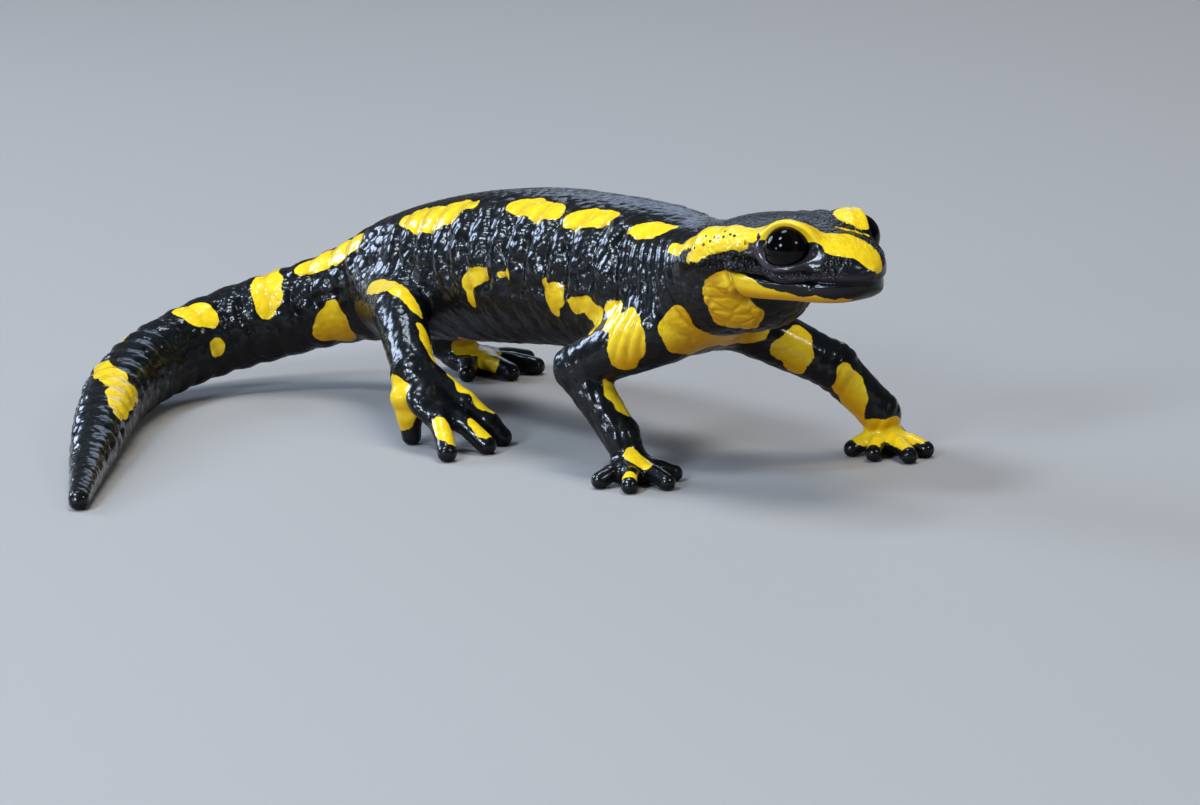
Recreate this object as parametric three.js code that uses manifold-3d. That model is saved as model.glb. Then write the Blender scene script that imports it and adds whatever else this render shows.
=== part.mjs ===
// A life-size fire salamander, walking, with its tail swung round to its right side and laid on the floor.
// Millimetres, +X the way it faces, +Y its left, +Z up. The origin is the middle of its footprint.
import * as THREE from 'three';
import Module from 'manifold-3d';
import { LoftGeometry } from 'three/addons/geometries/LoftGeometry.js';
import { mergeVertices } from 'three/addons/utils/BufferGeometryUtils.js';

const wasm = await Module();
wasm.setup();

// The pose is drawn with the shoulders at x = 0, y = 0, and this moves the footprint's middle to the origin.
const TO_ORIGIN = new THREE.Vector3(23.94, 18.99, 0);

const PART_GAP = 0.3;           // thin cut between neighbouring pieces
const BODY_SIDES = 24;          // facets round the body
const BODY_STEP = 3.4;          // length of one body facet
const LIMB_SIDES = 12;          // facets round a leg
const LIMB_ARC = 2;             // facets along each of its round ends
const DIGIT_SIDES = 8;          // facets round a toe
const DIGIT_ARC = 2;            // facets along each of its round ends
const LUMP_FACETS = [14, 8];    // facets round and along a brow or a gland
const BALL_FACETS = [16, 8];    // and an eye or its socket
const PALM_FACETS = [10, 6];    // and a palm
const SQUARENESS = 2.2;         // 2 is a plain ellipse, more is fuller at the corners

// The middle line of the body, from the snout to the end of the tail.
const SPINE = {
  snout: [28.8, 1.5, 24.8],
  eyes: [21.3, 1.0, 25.0],
  neck: [6.5, 0.2, 21.9],
  shoulders: [0, 0, 20.2],
  waist: [-26.0, 0.4, 18.8],
  hips: [-51.5, -0.1, 14.8],
  vent: [-60.0, -2.2, 12.2],
  tailRoot: [-67.5, -7.8, 9.4],
  tailBend: [-72.2, -16.0, 7.0],
  tailTurn: [-71.2, -25.0, 5.1],
  tailRest: [-64.5, -33.8, 3.9],
  tailLaid: [-54.0, -42.2, 3.1],
  tailTip: [-29.5, -59.5, 1.0],
};

// Half width of the body, and its height over and under the middle line, at distances back from the snout.
const GIRTH = [
  { back: 0, wide: 5.2, over: 2.4, under: 5.4 },
  { back: 1.5, wide: 5.4, over: 2.8, under: 4.9 },
  { back: 3, wide: 5.5, over: 3.2, under: 4.3 },
  { back: 5, wide: 5.9, over: 3.7, under: 3.9 },
  { back: 8, wide: 6.3, over: 4.3, under: 3.8 },
  { back: 12.5, wide: 7.5, over: 5.1, under: 3.8 },
  { back: 15.5, wide: 7.6, over: 5.5, under: 5.9 },
  { back: 19, wide: 7.5, over: 5.6, under: 6.5 },
  { back: 24.5, wide: 7.1, over: 6.2, under: 6.5 },
  { back: 29, wide: 7.4, over: 7.4, under: 7.6 },
  { back: 36, wide: 8.4, over: 8.4, under: 8.4 },
  { back: 48, wide: 9.0, over: 8.6, under: 8.6 },
  { back: 60, wide: 9.1, over: 8.7, under: 8.7 },
  { back: 71, wide: 8.2, over: 8.4, under: 8.4 },
  { back: 84, wide: 6.6, over: 7.3, under: 7.3 },
  { back: 95, wide: 4.9, over: 5.5, under: 5.5 },
  { back: 108, wide: 4.4, over: 4.9, under: 4.9 },
  { back: 130, wide: 3.6, over: 3.9, under: 3.9 },
  { back: 148, wide: 2.9, over: 3.0, under: 3.0 },
  { back: 160, wide: 2.1, over: 2.1, under: 2.1 },
  { back: 176, wide: 0.9, over: 0.9, under: 0.9 },
];
const NOSE_LENGTH = 7.2;        // the snout rounds off over this length
const NOSE_RINGS = 7;           // facets along it
const NOSE_FIRST_RING = 0.35;   // share of a facet from the very tip to the first ring
const TAIL_ROUND = 1.0;         // the tail's tip rounds off over this length
const TAIL_RING_ANGLES = [30, 55, 80];

// Where the body is parted, as distances back from the snout.
const BODY_PARTS = {
  head: [0, 22.5],
  neck: [22.5, 29],
  chest: [29, 44],
  trunk_middle: [44, 62],
  trunk_rear: [62, 78],
  pelvis: [78, 92],
  tail_base: [92, 112],
  tail_middle: [112, 132],
  tail_rear: [132, 153],
  tail_tip: [153, Infinity],
};

const LEGS_SPAN = [16, 104];    // the length of body that the legs stay clear of

// Places on the head are measured from the snout, which is turned a little to the left.
const HEAD_TURN = THREE.MathUtils.degToRad(4);
const EYE = { at: [-7.6, 4.65, 2.1], radius: 2.6 };
const BROW = { at: [-8.0, 3.9, 2.5], size: [3.6, 2.4, 2.6] };
const GLAND = { at: [-16.6, 6.0, 1.0], size: [6.8, 2.6, 2.4], slope: THREE.MathUtils.degToRad(15) };

// Limbs: joints with their radius, from the body to the wrist or ankle, then the palm and the digits' ends.
// The sloping hind foot also has an outer and an inner toe that leave it higher up, given joint by joint.
const LIMBS = {
  left_arm: {
    names: ['upper_arm', 'forearm', 'hand'],
    joints: [[0.5, 5.5, 15.6, 3.3], [7.2, 13.6, 10.2, 2.5], [8.8, 18.6, 4.5, 2.15]],
    palm: [8.6, 19.4, 1.5],
    digits: [[7.8, 14.4], [12.0, 14.7], [15.8, 17.2], [14.8, 20.9]],
  },
  right_arm: {
    names: ['upper_arm', 'forearm', 'hand'],
    joints: [[1, -5.5, 16, 3.9], [-7.3, -10.0, 11.4, 2.5], [-1.2, -8.8, 4.4, 1.95]],
    palm: [0.8, -9.0, 1.5],
    digits: [[0.8, -14.4], [5.6, -13.2], [7.4, -8.8], [4.2, -5.0]],
  },
  left_leg: {
    names: ['thigh', 'shank', 'foot'],
    joints: [[-52, 4, 12.2, 4.6], [-55.0, 12.9, 9.6, 2.9], [-62.4, 10.2, 3.9, 2.25]],
    palm: [-59.8, 12.0, 1.6],
    digits: [[-62.6, 17.6], [-57.6, 19.8], [-52.2, 17.4], [-51.2, 12.6], [-54.8, 7.8]],
  },
  right_leg: {
    names: ['thigh', 'shank', 'foot'],
    joints: [[-51.5, -4, 12.6, 4.6], [-40.5, -10.6, 13.0, 3.0], [-32.2, -14.6, 8.0, 2.4]],
    palm: [-28.2, -14.8, 4.9],
    digits: [[-20.6, -18.2], [-20.6, -12.2], [-28.0, -7.6]],
    toes: [
      [[-32.4, -15.0, 6.9, 1.8], [-31.7, -16.0, 5.4, 1.75], [-31.5, -15.9, 3.4, 1.35], [-31.6, -15.7, 1.0, 1.1]],
      [[-30.2, -13.6, 7.6, 1.4], [-26.8, -11.6, 5.0, 1.2], [-24.6, -9.9, 2.6, 1.15], [-23.8, -8.8, 1.0, 1.1]],
    ],
  },
};
const HAND = { radius: 2.6, thick: 1.6, finger: 1.15, fingertip: 0.95 };
const FOOT = { radius: 3.4, thick: 1.7, finger: 1.35, fingertip: 1.1 };
const SOLE_SINK = 0.1;          // how far a round underside is pared flat where it stands
const CUT_REACH = 200;          // side of the boxes that cut away one side of a plane

const skin = new THREE.Color(0x17181d);
const eyeBlack = new THREE.Color(0x050506);

// ---- solids -------------------------------------------------------------------------------------

function solid(geometry) {
  const bare = new THREE.BufferGeometry();
  bare.setAttribute('position', geometry.attributes.position);
  bare.setIndex(geometry.index);
  const merged = mergeVertices(bare, 1e-4);
  return new wasm.Manifold(new wasm.Mesh({
    numProp: 3,
    vertProperties: new Float32Array(merged.attributes.position.array),
    triVerts: new Uint32Array(merged.index.array),
  }));
}

function geometryOf(manifold) {
  const mesh = manifold.getMesh();
  const geometry = new THREE.BufferGeometry();
  geometry.setAttribute('position', new THREE.BufferAttribute(mesh.vertProperties, 3));
  geometry.setIndex(new THREE.BufferAttribute(mesh.triVerts, 1));
  geometry.translate(TO_ORIGIN.x, TO_ORIGIN.y, TO_ORIGIN.z);
  geometry.computeVertexNormals();
  return geometry;
}

// Everything on the far side of a plane, as a box to cut with.
function beyond(point, direction) {
  const box = new THREE.BoxGeometry(CUT_REACH, CUT_REACH, CUT_REACH);
  box.translate(0, 0, CUT_REACH / 2);
  box.applyQuaternion(new THREE.Quaternion().setFromUnitVectors(new THREE.Vector3(0, 0, 1), direction));
  box.translate(point.x, point.y, point.z);
  return solid(box);
}

const underFloor = beyond(new THREE.Vector3(0, 0, 0), new THREE.Vector3(0, 0, -1));

function ellipsoid(centre, [long, wide, tall], heading, facets) {
  const left = new THREE.Vector3(0, 0, 1).cross(heading).normalize();
  const up = new THREE.Vector3().crossVectors(heading, left);
  const ball = new THREE.SphereGeometry(1, ...facets);
  ball.scale(long, wide, tall);
  ball.applyMatrix4(new THREE.Matrix4().makeBasis(heading, left, up).setPosition(centre));
  return solid(ball);
}

// ---- body ---------------------------------------------------------------------------------------

const spine = new THREE.CatmullRomCurve3(
  Object.values(SPINE).map((place) => new THREE.Vector3(...place)), false, 'centripetal');
spine.arcLengthDivisions = 2000;
const bodyLength = spine.getLength();

// A smooth line through the girth table.
function girthAt(back, key) {
  let i = 0;
  while (i < GIRTH.length - 2 && back > GIRTH[i + 1].back) i += 1;
  const slope = (k) => {
    const before = GIRTH[Math.max(k - 1, 0)];
    const after = GIRTH[Math.min(k + 1, GIRTH.length - 1)];
    return (after[key] - before[key]) / (after.back - before.back);
  };
  const span = GIRTH[i + 1].back - GIRTH[i].back;
  const t = (back - GIRTH[i].back) / span;
  const ease = t * t * (3 - 2 * t);
  const bulge = (t - 2 * t * t + t * t * t) * slope(i) + (t * t * t - t * t) * slope(i + 1);
  return GIRTH[i][key] * (1 - ease) + GIRTH[i + 1][key] * ease + span * bulge;
}

function roundingAt(back) {
  const nose = Math.min(back / NOSE_LENGTH, 1);
  const tip = Math.min((bodyLength - back) / TAIL_ROUND, 1);
  return Math.sqrt(1 - (1 - nose) ** 2) * Math.sqrt(1 - (1 - tip) ** 2);
}

function section(back, grow) {
  const centre = spine.getPointAt(back / bodyLength);
  const along = spine.getTangentAt(back / bodyLength);
  const side = new THREE.Vector3(0, 0, 1).cross(along).normalize();
  const up = new THREE.Vector3().crossVectors(along, side);
  const wide = girthAt(back, 'wide') * roundingAt(back) + grow;
  const over = girthAt(back, 'over') * roundingAt(back) + grow;
  const under = girthAt(back, 'under') * roundingAt(back) + grow;
  const soften = (value) => Math.sign(value) * Math.abs(value) ** (2 / SQUARENESS);
  const ring = [];
  for (let i = 0; i < BODY_SIDES; i += 1) {
    const angle = (i / BODY_SIDES) * Math.PI * 2;
    const point = centre.clone();
    point.addScaledVector(side, wide * soften(Math.cos(angle)));
    point.addScaledVector(up, (angle < Math.PI ? over : under) * soften(Math.sin(angle)));
    ring.push(point);
  }
  return ring;
}

// Distances for the rings of one length of body, closer together where an end rounds off.
function ringPlaces(from, to) {
  const places = [];
  const start = from > 0 ? from : NOSE_LENGTH;
  const end = Math.min(to, bodyLength - TAIL_ROUND);
  if (from === 0) {
    for (let i = 0; i < NOSE_RINGS; i += 1) {
      places.push(NOSE_LENGTH * (1 - Math.cos(((i + NOSE_FIRST_RING) / NOSE_RINGS) * Math.PI / 2)));
    }
  }
  const steps = Math.ceil((end - start) / BODY_STEP);
  for (let i = 0; i <= steps; i += 1) places.push(start + ((end - start) * i) / steps);
  if (to > bodyLength) {
    for (const angle of TAIL_RING_ANGLES) {
      places.push(bodyLength - TAIL_ROUND * (1 - Math.sin(THREE.MathUtils.degToRad(angle))));
    }
  }
  return places;
}

function bodyLoft(from, to, grow = 0) {
  const rings = ringPlaces(from, to).map((back) => section(back, grow));
  return solid(new LoftGeometry(rings, { closed: true, capStart: true, capEnd: true }));
}

// A direction that points forward on the head, sloping up by an angle.
function headHeading(slope) {
  const heading = new THREE.Vector3(Math.cos(slope), 0, Math.sin(slope));
  return heading.applyAxisAngle(new THREE.Vector3(0, 0, 1), HEAD_TURN);
}

function onHead([forward, left, up]) {
  const place = new THREE.Vector3(forward, left, up).applyAxisAngle(new THREE.Vector3(0, 0, 1), HEAD_TURN);
  return place.add(new THREE.Vector3(...SPINE.snout));
}

function mirrored([forward, left, up], sideways) {
  return [forward, left * sideways, up];
}

const cut = PART_GAP / 2;
const bodyPieces = {};
for (const [name, [from, to]] of Object.entries(BODY_PARTS)) {
  bodyPieces[name] = bodyLoft(from === 0 ? 0 : from + cut, to === Infinity ? Infinity : to - cut).subtract(underFloor);
}

// Brow ridges and the long glands behind the eyes, with a socket round each eye.
for (const sideways of [1, -1]) {
  const brow = ellipsoid(onHead(mirrored(BROW.at, sideways)), BROW.size, headHeading(0), LUMP_FACETS);
  const gland = ellipsoid(onHead(mirrored(GLAND.at, sideways)), GLAND.size, headHeading(GLAND.slope), LUMP_FACETS);
  const behindHead = bodyLoft(BODY_PARTS.head[1] - cut, BODY_PARTS.neck[1], GLAND.size[1] * 2);
  const socketRadius = EYE.radius + PART_GAP;
  const socket = ellipsoid(onHead(mirrored(EYE.at, sideways)), Array(3).fill(socketRadius), headHeading(0), BALL_FACETS);
  bodyPieces.head = bodyPieces.head.add(brow).add(gland.subtract(behindHead)).subtract(socket);
}

// ---- limbs --------------------------------------------------------------------------------------

// A tapering rod with round ends, from one joint's ball to the next one's.
function roundedRod(start, startRadius, end, endRadius, sides, arcSteps) {
  const length = start.distanceTo(end);
  const lean = Math.asin((startRadius - endRadius) / length);
  const outline = [];
  for (let i = 0; i <= arcSteps; i += 1) {
    const angle = -Math.PI / 2 + (lean + Math.PI / 2) * (i / arcSteps);
    outline.push(new THREE.Vector2(Math.max(startRadius * Math.cos(angle), 0), startRadius * Math.sin(angle)));
  }
  for (let i = 0; i <= arcSteps; i += 1) {
    const angle = lean + (Math.PI / 2 - lean) * (i / arcSteps);
    outline.push(new THREE.Vector2(Math.max(endRadius * Math.cos(angle), 0), length + endRadius * Math.sin(angle)));
  }
  outline[0].x = 0;
  outline[outline.length - 1].x = 0;
  const rod = new THREE.LatheGeometry(outline, sides);
  const along = new THREE.Vector3().subVectors(end, start).normalize();
  rod.applyQuaternion(new THREE.Quaternion().setFromUnitVectors(new THREE.Vector3(0, 1, 0), along));
  rod.translate(start.x, start.y, start.z);
  return solid(rod);
}

const bodyClearance = bodyLoft(...LEGS_SPAN, PART_GAP);

// A hand or foot: a wrist or ankle rod, a flat round palm that tilts with the digits, and a digit to each place.
function handSolid(wrist, wristRadius, palm, digits, toes, form) {
  const tips = digits.map(([x, y]) => new THREE.Vector3(x, y, form.fingertip - SOLE_SINK));
  const ahead = new THREE.Vector3();
  tips.forEach((tip) => ahead.addScaledVector(tip, 1 / tips.length));
  ahead.sub(palm).normalize();
  let hand = roundedRod(wrist, wristRadius, palm, form.thick, LIMB_SIDES, LIMB_ARC);
  hand = hand.add(ellipsoid(palm, [form.radius, form.radius, form.thick], ahead, PALM_FACETS));
  for (const tip of tips) {
    const outward = new THREE.Vector3().subVectors(tip, palm).normalize();
    const knuckle = palm.clone().addScaledVector(outward, form.radius - form.finger);
    tip.addScaledVector(outward.clone().setZ(0), -form.fingertip);
    hand = hand.add(roundedRod(knuckle, form.finger, tip, form.fingertip, DIGIT_SIDES, DIGIT_ARC));
  }
  for (const toe of toes) {
    for (let i = 1; i < toe.length; i += 1) {
      const from = new THREE.Vector3(...toe[i - 1]);
      const to = new THREE.Vector3(...toe[i]);
      hand = hand.add(roundedRod(from, toe[i - 1][3], to, toe[i][3], DIGIT_SIDES, DIGIT_ARC));
    }
  }
  return hand;
}

function limbPieces(limb) {
  const form = limb.names[2] === 'hand' ? HAND : FOOT;
  const places = limb.joints.map(([x, y, z]) => new THREE.Vector3(x, y, z));
  const radii = limb.joints.map((joint) => joint[3]);
  const palm = new THREE.Vector3(...limb.palm);
  const stops = [...places, palm];
  const headings = [0, 1, 2].map((i) => new THREE.Vector3().subVectors(stops[i + 1], stops[i]).normalize());
  const rods = [
    roundedRod(places[0], radii[0], places[1], radii[1], LIMB_SIDES, LIMB_ARC),
    roundedRod(places[1], radii[1], places[2], radii[2], LIMB_SIDES, LIMB_ARC),
    handSolid(places[2], radii[2], palm, limb.digits, limb.toes ?? [], form),
  ];
  for (const joint of [1, 2]) {
    const across = new THREE.Vector3().addVectors(headings[joint - 1], headings[joint]).normalize();
    const near = places[joint].clone().addScaledVector(across, -cut);
    const far = places[joint].clone().addScaledVector(across, cut);
    rods[joint - 1] = rods[joint - 1].subtract(beyond(near, across));
    rods[joint] = rods[joint].subtract(beyond(far, across.clone().negate()));
  }
  return rods.map((rod) => rod.subtract(bodyClearance).subtract(underFloor));
}

// ---- the animal ---------------------------------------------------------------------------------

function piece(name, manifold, colour, roughness) {
  const material = new THREE.MeshStandardMaterial({ color: colour, roughness, metalness: 0 });
  const mesh = new THREE.Mesh(geometryOf(manifold), material);
  mesh.name = name;
  return mesh;
}

const salamander = new THREE.Group();

for (const [name, manifold] of Object.entries(bodyPieces)) {
  salamander.add(piece(name, manifold, skin, 0.28));
}

for (const [name, limb] of Object.entries(LIMBS)) {
  const side = name.split('_')[0];
  limbPieces(limb).forEach((manifold, i) => {
    salamander.add(piece(`${side}_${limb.names[i]}`, manifold, skin, 0.28));
  });
}

for (const [name, sideways] of [['left_eye', 1], ['right_eye', -1]]) {
  const ball = ellipsoid(onHead(mirrored(EYE.at, sideways)), Array(3).fill(EYE.radius), headHeading(0), BALL_FACETS);
  salamander.add(piece(name, ball, eyeBlack, 0.05));
}

export default salamander;
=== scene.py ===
import math

import bpy
import numpy as np
from mathutils import Matrix, Vector


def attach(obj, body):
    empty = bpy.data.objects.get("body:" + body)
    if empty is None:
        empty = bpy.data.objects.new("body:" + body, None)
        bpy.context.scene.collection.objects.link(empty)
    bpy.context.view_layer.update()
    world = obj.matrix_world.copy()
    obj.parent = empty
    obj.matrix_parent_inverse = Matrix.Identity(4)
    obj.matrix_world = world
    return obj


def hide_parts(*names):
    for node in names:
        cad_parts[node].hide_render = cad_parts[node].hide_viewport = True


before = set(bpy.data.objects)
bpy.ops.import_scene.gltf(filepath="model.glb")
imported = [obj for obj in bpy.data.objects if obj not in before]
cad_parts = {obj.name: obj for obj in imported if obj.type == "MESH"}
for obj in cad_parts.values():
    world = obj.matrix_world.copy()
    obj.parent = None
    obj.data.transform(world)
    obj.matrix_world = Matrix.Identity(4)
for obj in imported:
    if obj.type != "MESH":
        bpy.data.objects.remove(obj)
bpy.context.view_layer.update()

# ---- Body and tail -----------------------------------------------------------
# The trunk is a soft tube of flesh from the throat to the tail's tip, oval across, with a hollow
# between each rib and the next. It is swept along a bent middle line, in millimetres, +X forward
# and +Y to the animal's left, with the shoulders at x = 0, y = 0.

TO_ORIGIN = np.array([23.94, 18.99, 0.0])
SPINE = np.array([
    (28.8, 1.5, 24.8),      # snout
    (21.3, 1, 25),      # eyes
    (6.5, 0.2, 21.9),       # neck
    (0, 0, 20.2),       # shoulders
    (-26, 0.4, 18.8),     # waist
    (-51.5, -0.1, 14.8),    # hips
    (-60, -2.2, 12.2),    # vent
    (-67.5, -7.8, 9.4),     # root of the tail
    (-72.2, -16, 7),
    (-71.2, -25, 5.1),
    (-64.5, -33.8, 3.9),    # the tail comes down to the floor
    (-54, -42.2, 3.1),
    (-29.5, -59.5, 1),    # tip of the tail
])
# Distance back from the snout, half width, height over the middle line, depth under it.
TRUNK = [
    (7.8, 3.4, 0.6, 3.9),
    (10, 4.6, 1.6, 4.7),
    (13, 5.8, 2.6, 5.9),
    (17, 7.2, 4, 6.5),
    (21, 7.3, 5.3, 6.4),
    (24.5, 7.1, 6.2, 6.5),
    (29, 7.4, 7.4, 7.6),
    (36, 8.4, 8.4, 8.4),
    (48, 9, 8.6, 8.6),
    (60, 9.1, 8.7, 8.7),
    (71, 8.2, 8.4, 8.4),
    (84, 6.6, 7.3, 7.3),
    (95, 4.9, 5.5, 5.5),
    (108, 4.4, 4.9, 4.9),
    (130, 3.6, 3.9, 3.9),
    (148, 2.9, 3, 3),
    (160, 2.1, 2.1, 2.1),
    (176, 0.9, 0.9, 0.9),
]
THROAT_START = 11.2         # the throat swells from here
THROAT_ROUND = 7.0          # and is full after this length
TAIL_ROUND = 1.0
TRUNK_SQUARE = 2.2          # 2 is a plain oval, and more is squarer
SPINE_STEP = 0.25


def lengths(v):
    return np.linalg.norm(v, axis=1)


def smooth_line(points, steps=60):
    """A curve through the points that doesn't overshoot, as even steps along its length."""
    ends = np.vstack([2 * points[0] - points[1], points, 2 * points[-1] - points[-2]])
    t = np.linspace(0, 1, steps, endpoint=False)[:, None]
    line = []
    for a, b, c, d in zip(ends, ends[1:], ends[2:], ends[3:]):
        ab, bc, cd = (max(np.linalg.norm(v), 1e-9) ** 0.5 for v in (b - a, c - b, d - c))
        leave = ((b - a) / ab - (c - a) / (ab + bc) + (c - b) / bc) * bc
        arrive = ((c - b) / bc - (d - b) / (bc + cd) + (d - c) / cd) * bc
        swing = (t - 2 * t**2 + t**3) * leave + (t**3 - t**2) * arrive
        line.append(b + (3 * t**2 - 2 * t**3) * (c - b) + swing)
    line = np.vstack(line + [points[-1:]])
    length = np.r_[0, np.cumsum(lengths(np.diff(line, axis=0)))]
    even = np.linspace(0, length[-1], int(length[-1] / SPINE_STEP) + 1)
    return np.stack([np.interp(even, length, line[:, k]) for k in range(3)], 1), even


def through(table, at):
    """Smooth lines through a table's columns, whose first column is the distance."""
    table = np.array(table, float)
    place, value = table[:, 0], table[:, 1:]
    index = np.arange(len(place))
    before, after = np.maximum(index - 1, 0), np.minimum(index + 1, len(place) - 1)
    slope = (value[after] - value[before]) / (place[after] - place[before])[:, None]
    i = np.clip(np.searchsorted(place, at, side="right") - 1, 0, len(place) - 2)
    span = (place[i + 1] - place[i])[:, None]
    t = ((at - place[i])[:, None] / span).clip(0, 1)
    ease = t * t * (3 - 2 * t)
    bulge = (t - 2 * t**2 + t**3) * slope[i] + (t**3 - t**2) * slope[i + 1]
    return value[i] * (1 - ease) + value[i + 1] * ease + span * bulge


def rounded_end(distance, length):
    """0 at an end and 1 from that length on, round between them."""
    return np.sqrt(np.clip(1 - (1 - np.clip(distance / length, 0, 1)) ** 2, 0, 1))


middle, middle_back = smooth_line(SPINE)
body_length = middle_back[-1]
along = np.gradient(middle, middle_back, axis=0)
along /= lengths(along)[:, None]
bend = np.gradient(along, middle_back, axis=0)
rightward = np.cross([0, 0, 1.0], along)
rightward /= lengths(rightward)[:, None]
upward = np.cross(along, rightward)
girth = through(TRUNK, middle_back)
girth *= rounded_end(middle_back - THROAT_START, THROAT_ROUND)[:, None]
girth *= rounded_end(body_length - middle_back, TAIL_ROUND)[:, None]
body_rows = np.hstack([middle, along, bend, rightward, upward, np.maximum(girth, 0.02)])


def rows_at(rows, distance, step):
    """Rows of a table that is even along a line, read between them too."""
    place = np.clip(distance / step, 0, len(rows) - 1.001)
    low = place.astype(int)
    share = (place - low)[:, None]
    return rows[low] * (1 - share) + rows[low + 1] * share


def along_body(p):
    """Each point's distance back, its distance ahead of the line's place there, and that place's row."""
    step = middle_back[1]
    coarse = middle[::12]
    near = np.concatenate([
        ((part[:, None] - coarse) ** 2).sum(2).argmin(1) for part in np.array_split(p, len(p) // 50000 + 1)
    ])
    back = near * 12 * step
    for _ in range(4):
        row = rows_at(body_rows, back, step)
        off = p - row[:, :3]
        shift = (off * row[:, 3:6]).sum(1) / np.maximum(1 - (off * row[:, 6:9]).sum(1), 0.3)
        back = np.clip(back + np.clip(shift, -4, 4), 0, body_length)
    row = rows_at(body_rows, back, step)
    off = p - row[:, :3]
    return back, (off * row[:, 3:6]).sum(1), off, row


def oval(across, height, wide, over, under, square_over, square_under):
    """About how far a point lies outside an oval with an upper and a lower half of their own."""
    tall = np.where(height > 0, over, under)
    squareness = np.where(height > 0, square_over, square_under)
    a, b = np.abs(across) / wide, np.abs(height) / tall
    size = np.maximum((a**squareness + b**squareness) ** (1 / squareness), 1e-6)
    slope = np.hypot(a ** (squareness - 1) / wide, b ** (squareness - 1) / tall) * size ** (1 - squareness)
    return (size - 1) / np.maximum(slope, 1e-6)


def past_end(outside, beyond):
    return np.where(beyond > 0, np.hypot(np.maximum(outside, 0), beyond), outside)


def across_line(off, row):
    """How far to the right of the line and over it."""
    return (off * row[:, 9:12]).sum(1), (off * row[:, 12:15]).sum(1)


def trunk_form(p):
    back, ahead, off, row = along_body(p)
    across, height = across_line(off, row)
    outside = oval(across, height, row[:, 15], row[:, 16], row[:, 17], TRUNK_SQUARE, TRUNK_SQUARE)
    return past_end(outside, np.abs(ahead) * ((back <= 0) | (back >= body_length)))


# ---- Head --------------------------------------------------------------------
# A broad flat skull whose upper lip overlaps the lower jaw, with a long gland behind each eye.
# The skin is moulded straight over the bone. Places are (back, right, up) from the snout's tip.

HEAD_TURN = math.radians(4)
SNOUT = SPINE[0]
# Back, half width, height of the lip's widest line, height of the crown, depth of the lip's edge.
SKULL = [
    (0, 4.8, -0.45, 2.3, 0.6),
    (1, 5, -0.35, 2.55, 0.7),
    (3, 5.3, -0.15, 3.1, 0.85),
    (5, 5.5, -0.05, 3.8, 0.9),
    (8, 6.1, 0, 4.45, 0.95),
    (10, 6.7, 0.1, 4.6, 1),
    (12.5, 7.3, 0.4, 4.65, 1.1),
    (16, 7.2, 0.2, 4.45, 2),
    (19, 6.4, -0.4, 3.95, 2.5),
    (22, 5, -1.5, 2.9, 2.5),
    (25, 3.5, -2.5, 1.5, 2),
]
# Back, half width, height of the lower lip's widest line, depth of the chin under the snout's tip.
JAW = [
    (0.5, 4.6, -1.6, 2.95),
    (3, 5, -1.6, 3.3),
    (5, 5.2, -1.6, 3.45),
    (8, 5.9, -1.6, 3.6),
    (10, 6.6, -1.5, 3.7),
    (12.5, 7.4, -1.2, 3.75),
    (15, 7.5, -1.4, 3.9),
    (18, 6.5, -1.5, 3.8),
    (20, 4, -1.5, 3.5),
]
SKULL_SQUARE = 2.35
LIP_SQUARE = 3.2
LOWER_LIP = 0.95            # the lower jaw reaches this far up behind the upper lip
MOUTH_CORNER = 12.8
SNOUT_ROUND = 6.4           # length over which the snout rounds off seen from above
BRIDGE_ROUND = 4.6          # and seen from the side
LIP_ROUND = 0.5
HEAD_END = 26.8
JAW_START = 0.35
JAW_END = 20.0
JAW_ROUND = 6.0
CHIN_ROUND = 2.5
LOWER_LIP_ROUND = 0.8
THINNEST = 0.05             # no oval is thinner than this
EYE_AT = (7.6, 4.65, 2.1)
EYE_RADIUS = 2.6
EYE_FORWARD = math.radians(20)      # the lids' opening faces this far forward of sideways
EYE_UP = math.radians(22)           # and this far up
OPENING_AHEAD = math.radians(80)    # half angles of the opening on the ball
OPENING_BEHIND = math.radians(69)
OPENING_OVER = math.radians(55)
OPENING_UNDER = math.radians(52)
LID_THICK = 0.42
BROW_AT = (8.0, 3.9, 2.5)
BROW_SIZE = (3.6, 2.4, 2.6)
# The gland runs back and down from behind the eye, to over the neck: back, right, up, radius.
GLAND = [
    (11.2, 5.5, 2.3, 1.5),
    (14, 6.1, 1.9, 2.1),
    (17, 6.2, 1.2, 2.4),
    (20, 5.8, 0.2, 2),
    (22, 5.2, -0.7, 1.4),
]

head_forward = np.array([math.cos(HEAD_TURN), math.sin(HEAD_TURN), 0])
head_right = np.array([math.sin(HEAD_TURN), -math.cos(HEAD_TURN), 0])
eye_facing = np.array([
    -math.sin(EYE_FORWARD) * math.cos(EYE_UP), math.cos(EYE_FORWARD) * math.cos(EYE_UP), math.sin(EYE_UP)])
head_step = 0.1
head_back = np.arange(0, 27, head_step)
skull_rows = through(SKULL, head_back)
jaw_rows = through(JAW, head_back)


def to_head(p):
    off = p - SNOUT
    return np.stack([-(off @ head_forward), off @ head_right, off[:, 2]], 1)


def from_head(h):
    h = np.asarray(h, float)
    return SNOUT - h[..., :1] * head_forward + h[..., 1:2] * head_right + h[..., 2:] * np.array([0, 0, 1.0])


def smooth_min(a, b, reach):
    share = np.maximum(reach - np.abs(a - b), 0) / reach
    return np.minimum(a, b) - share * share * reach / 4


def smooth_max(a, b, reach):
    return -smooth_min(-a, -b, reach)


def egg(h, centre, size):
    """About how far a point lies outside an egg shape."""
    near = (h - centre) / size
    far = np.sqrt((near**2).sum(1))
    return far * (far - 1) / np.maximum(np.sqrt(((near / size) ** 2).sum(1)), 1e-6)


def unit(v):
    return v / np.linalg.norm(v)


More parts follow.
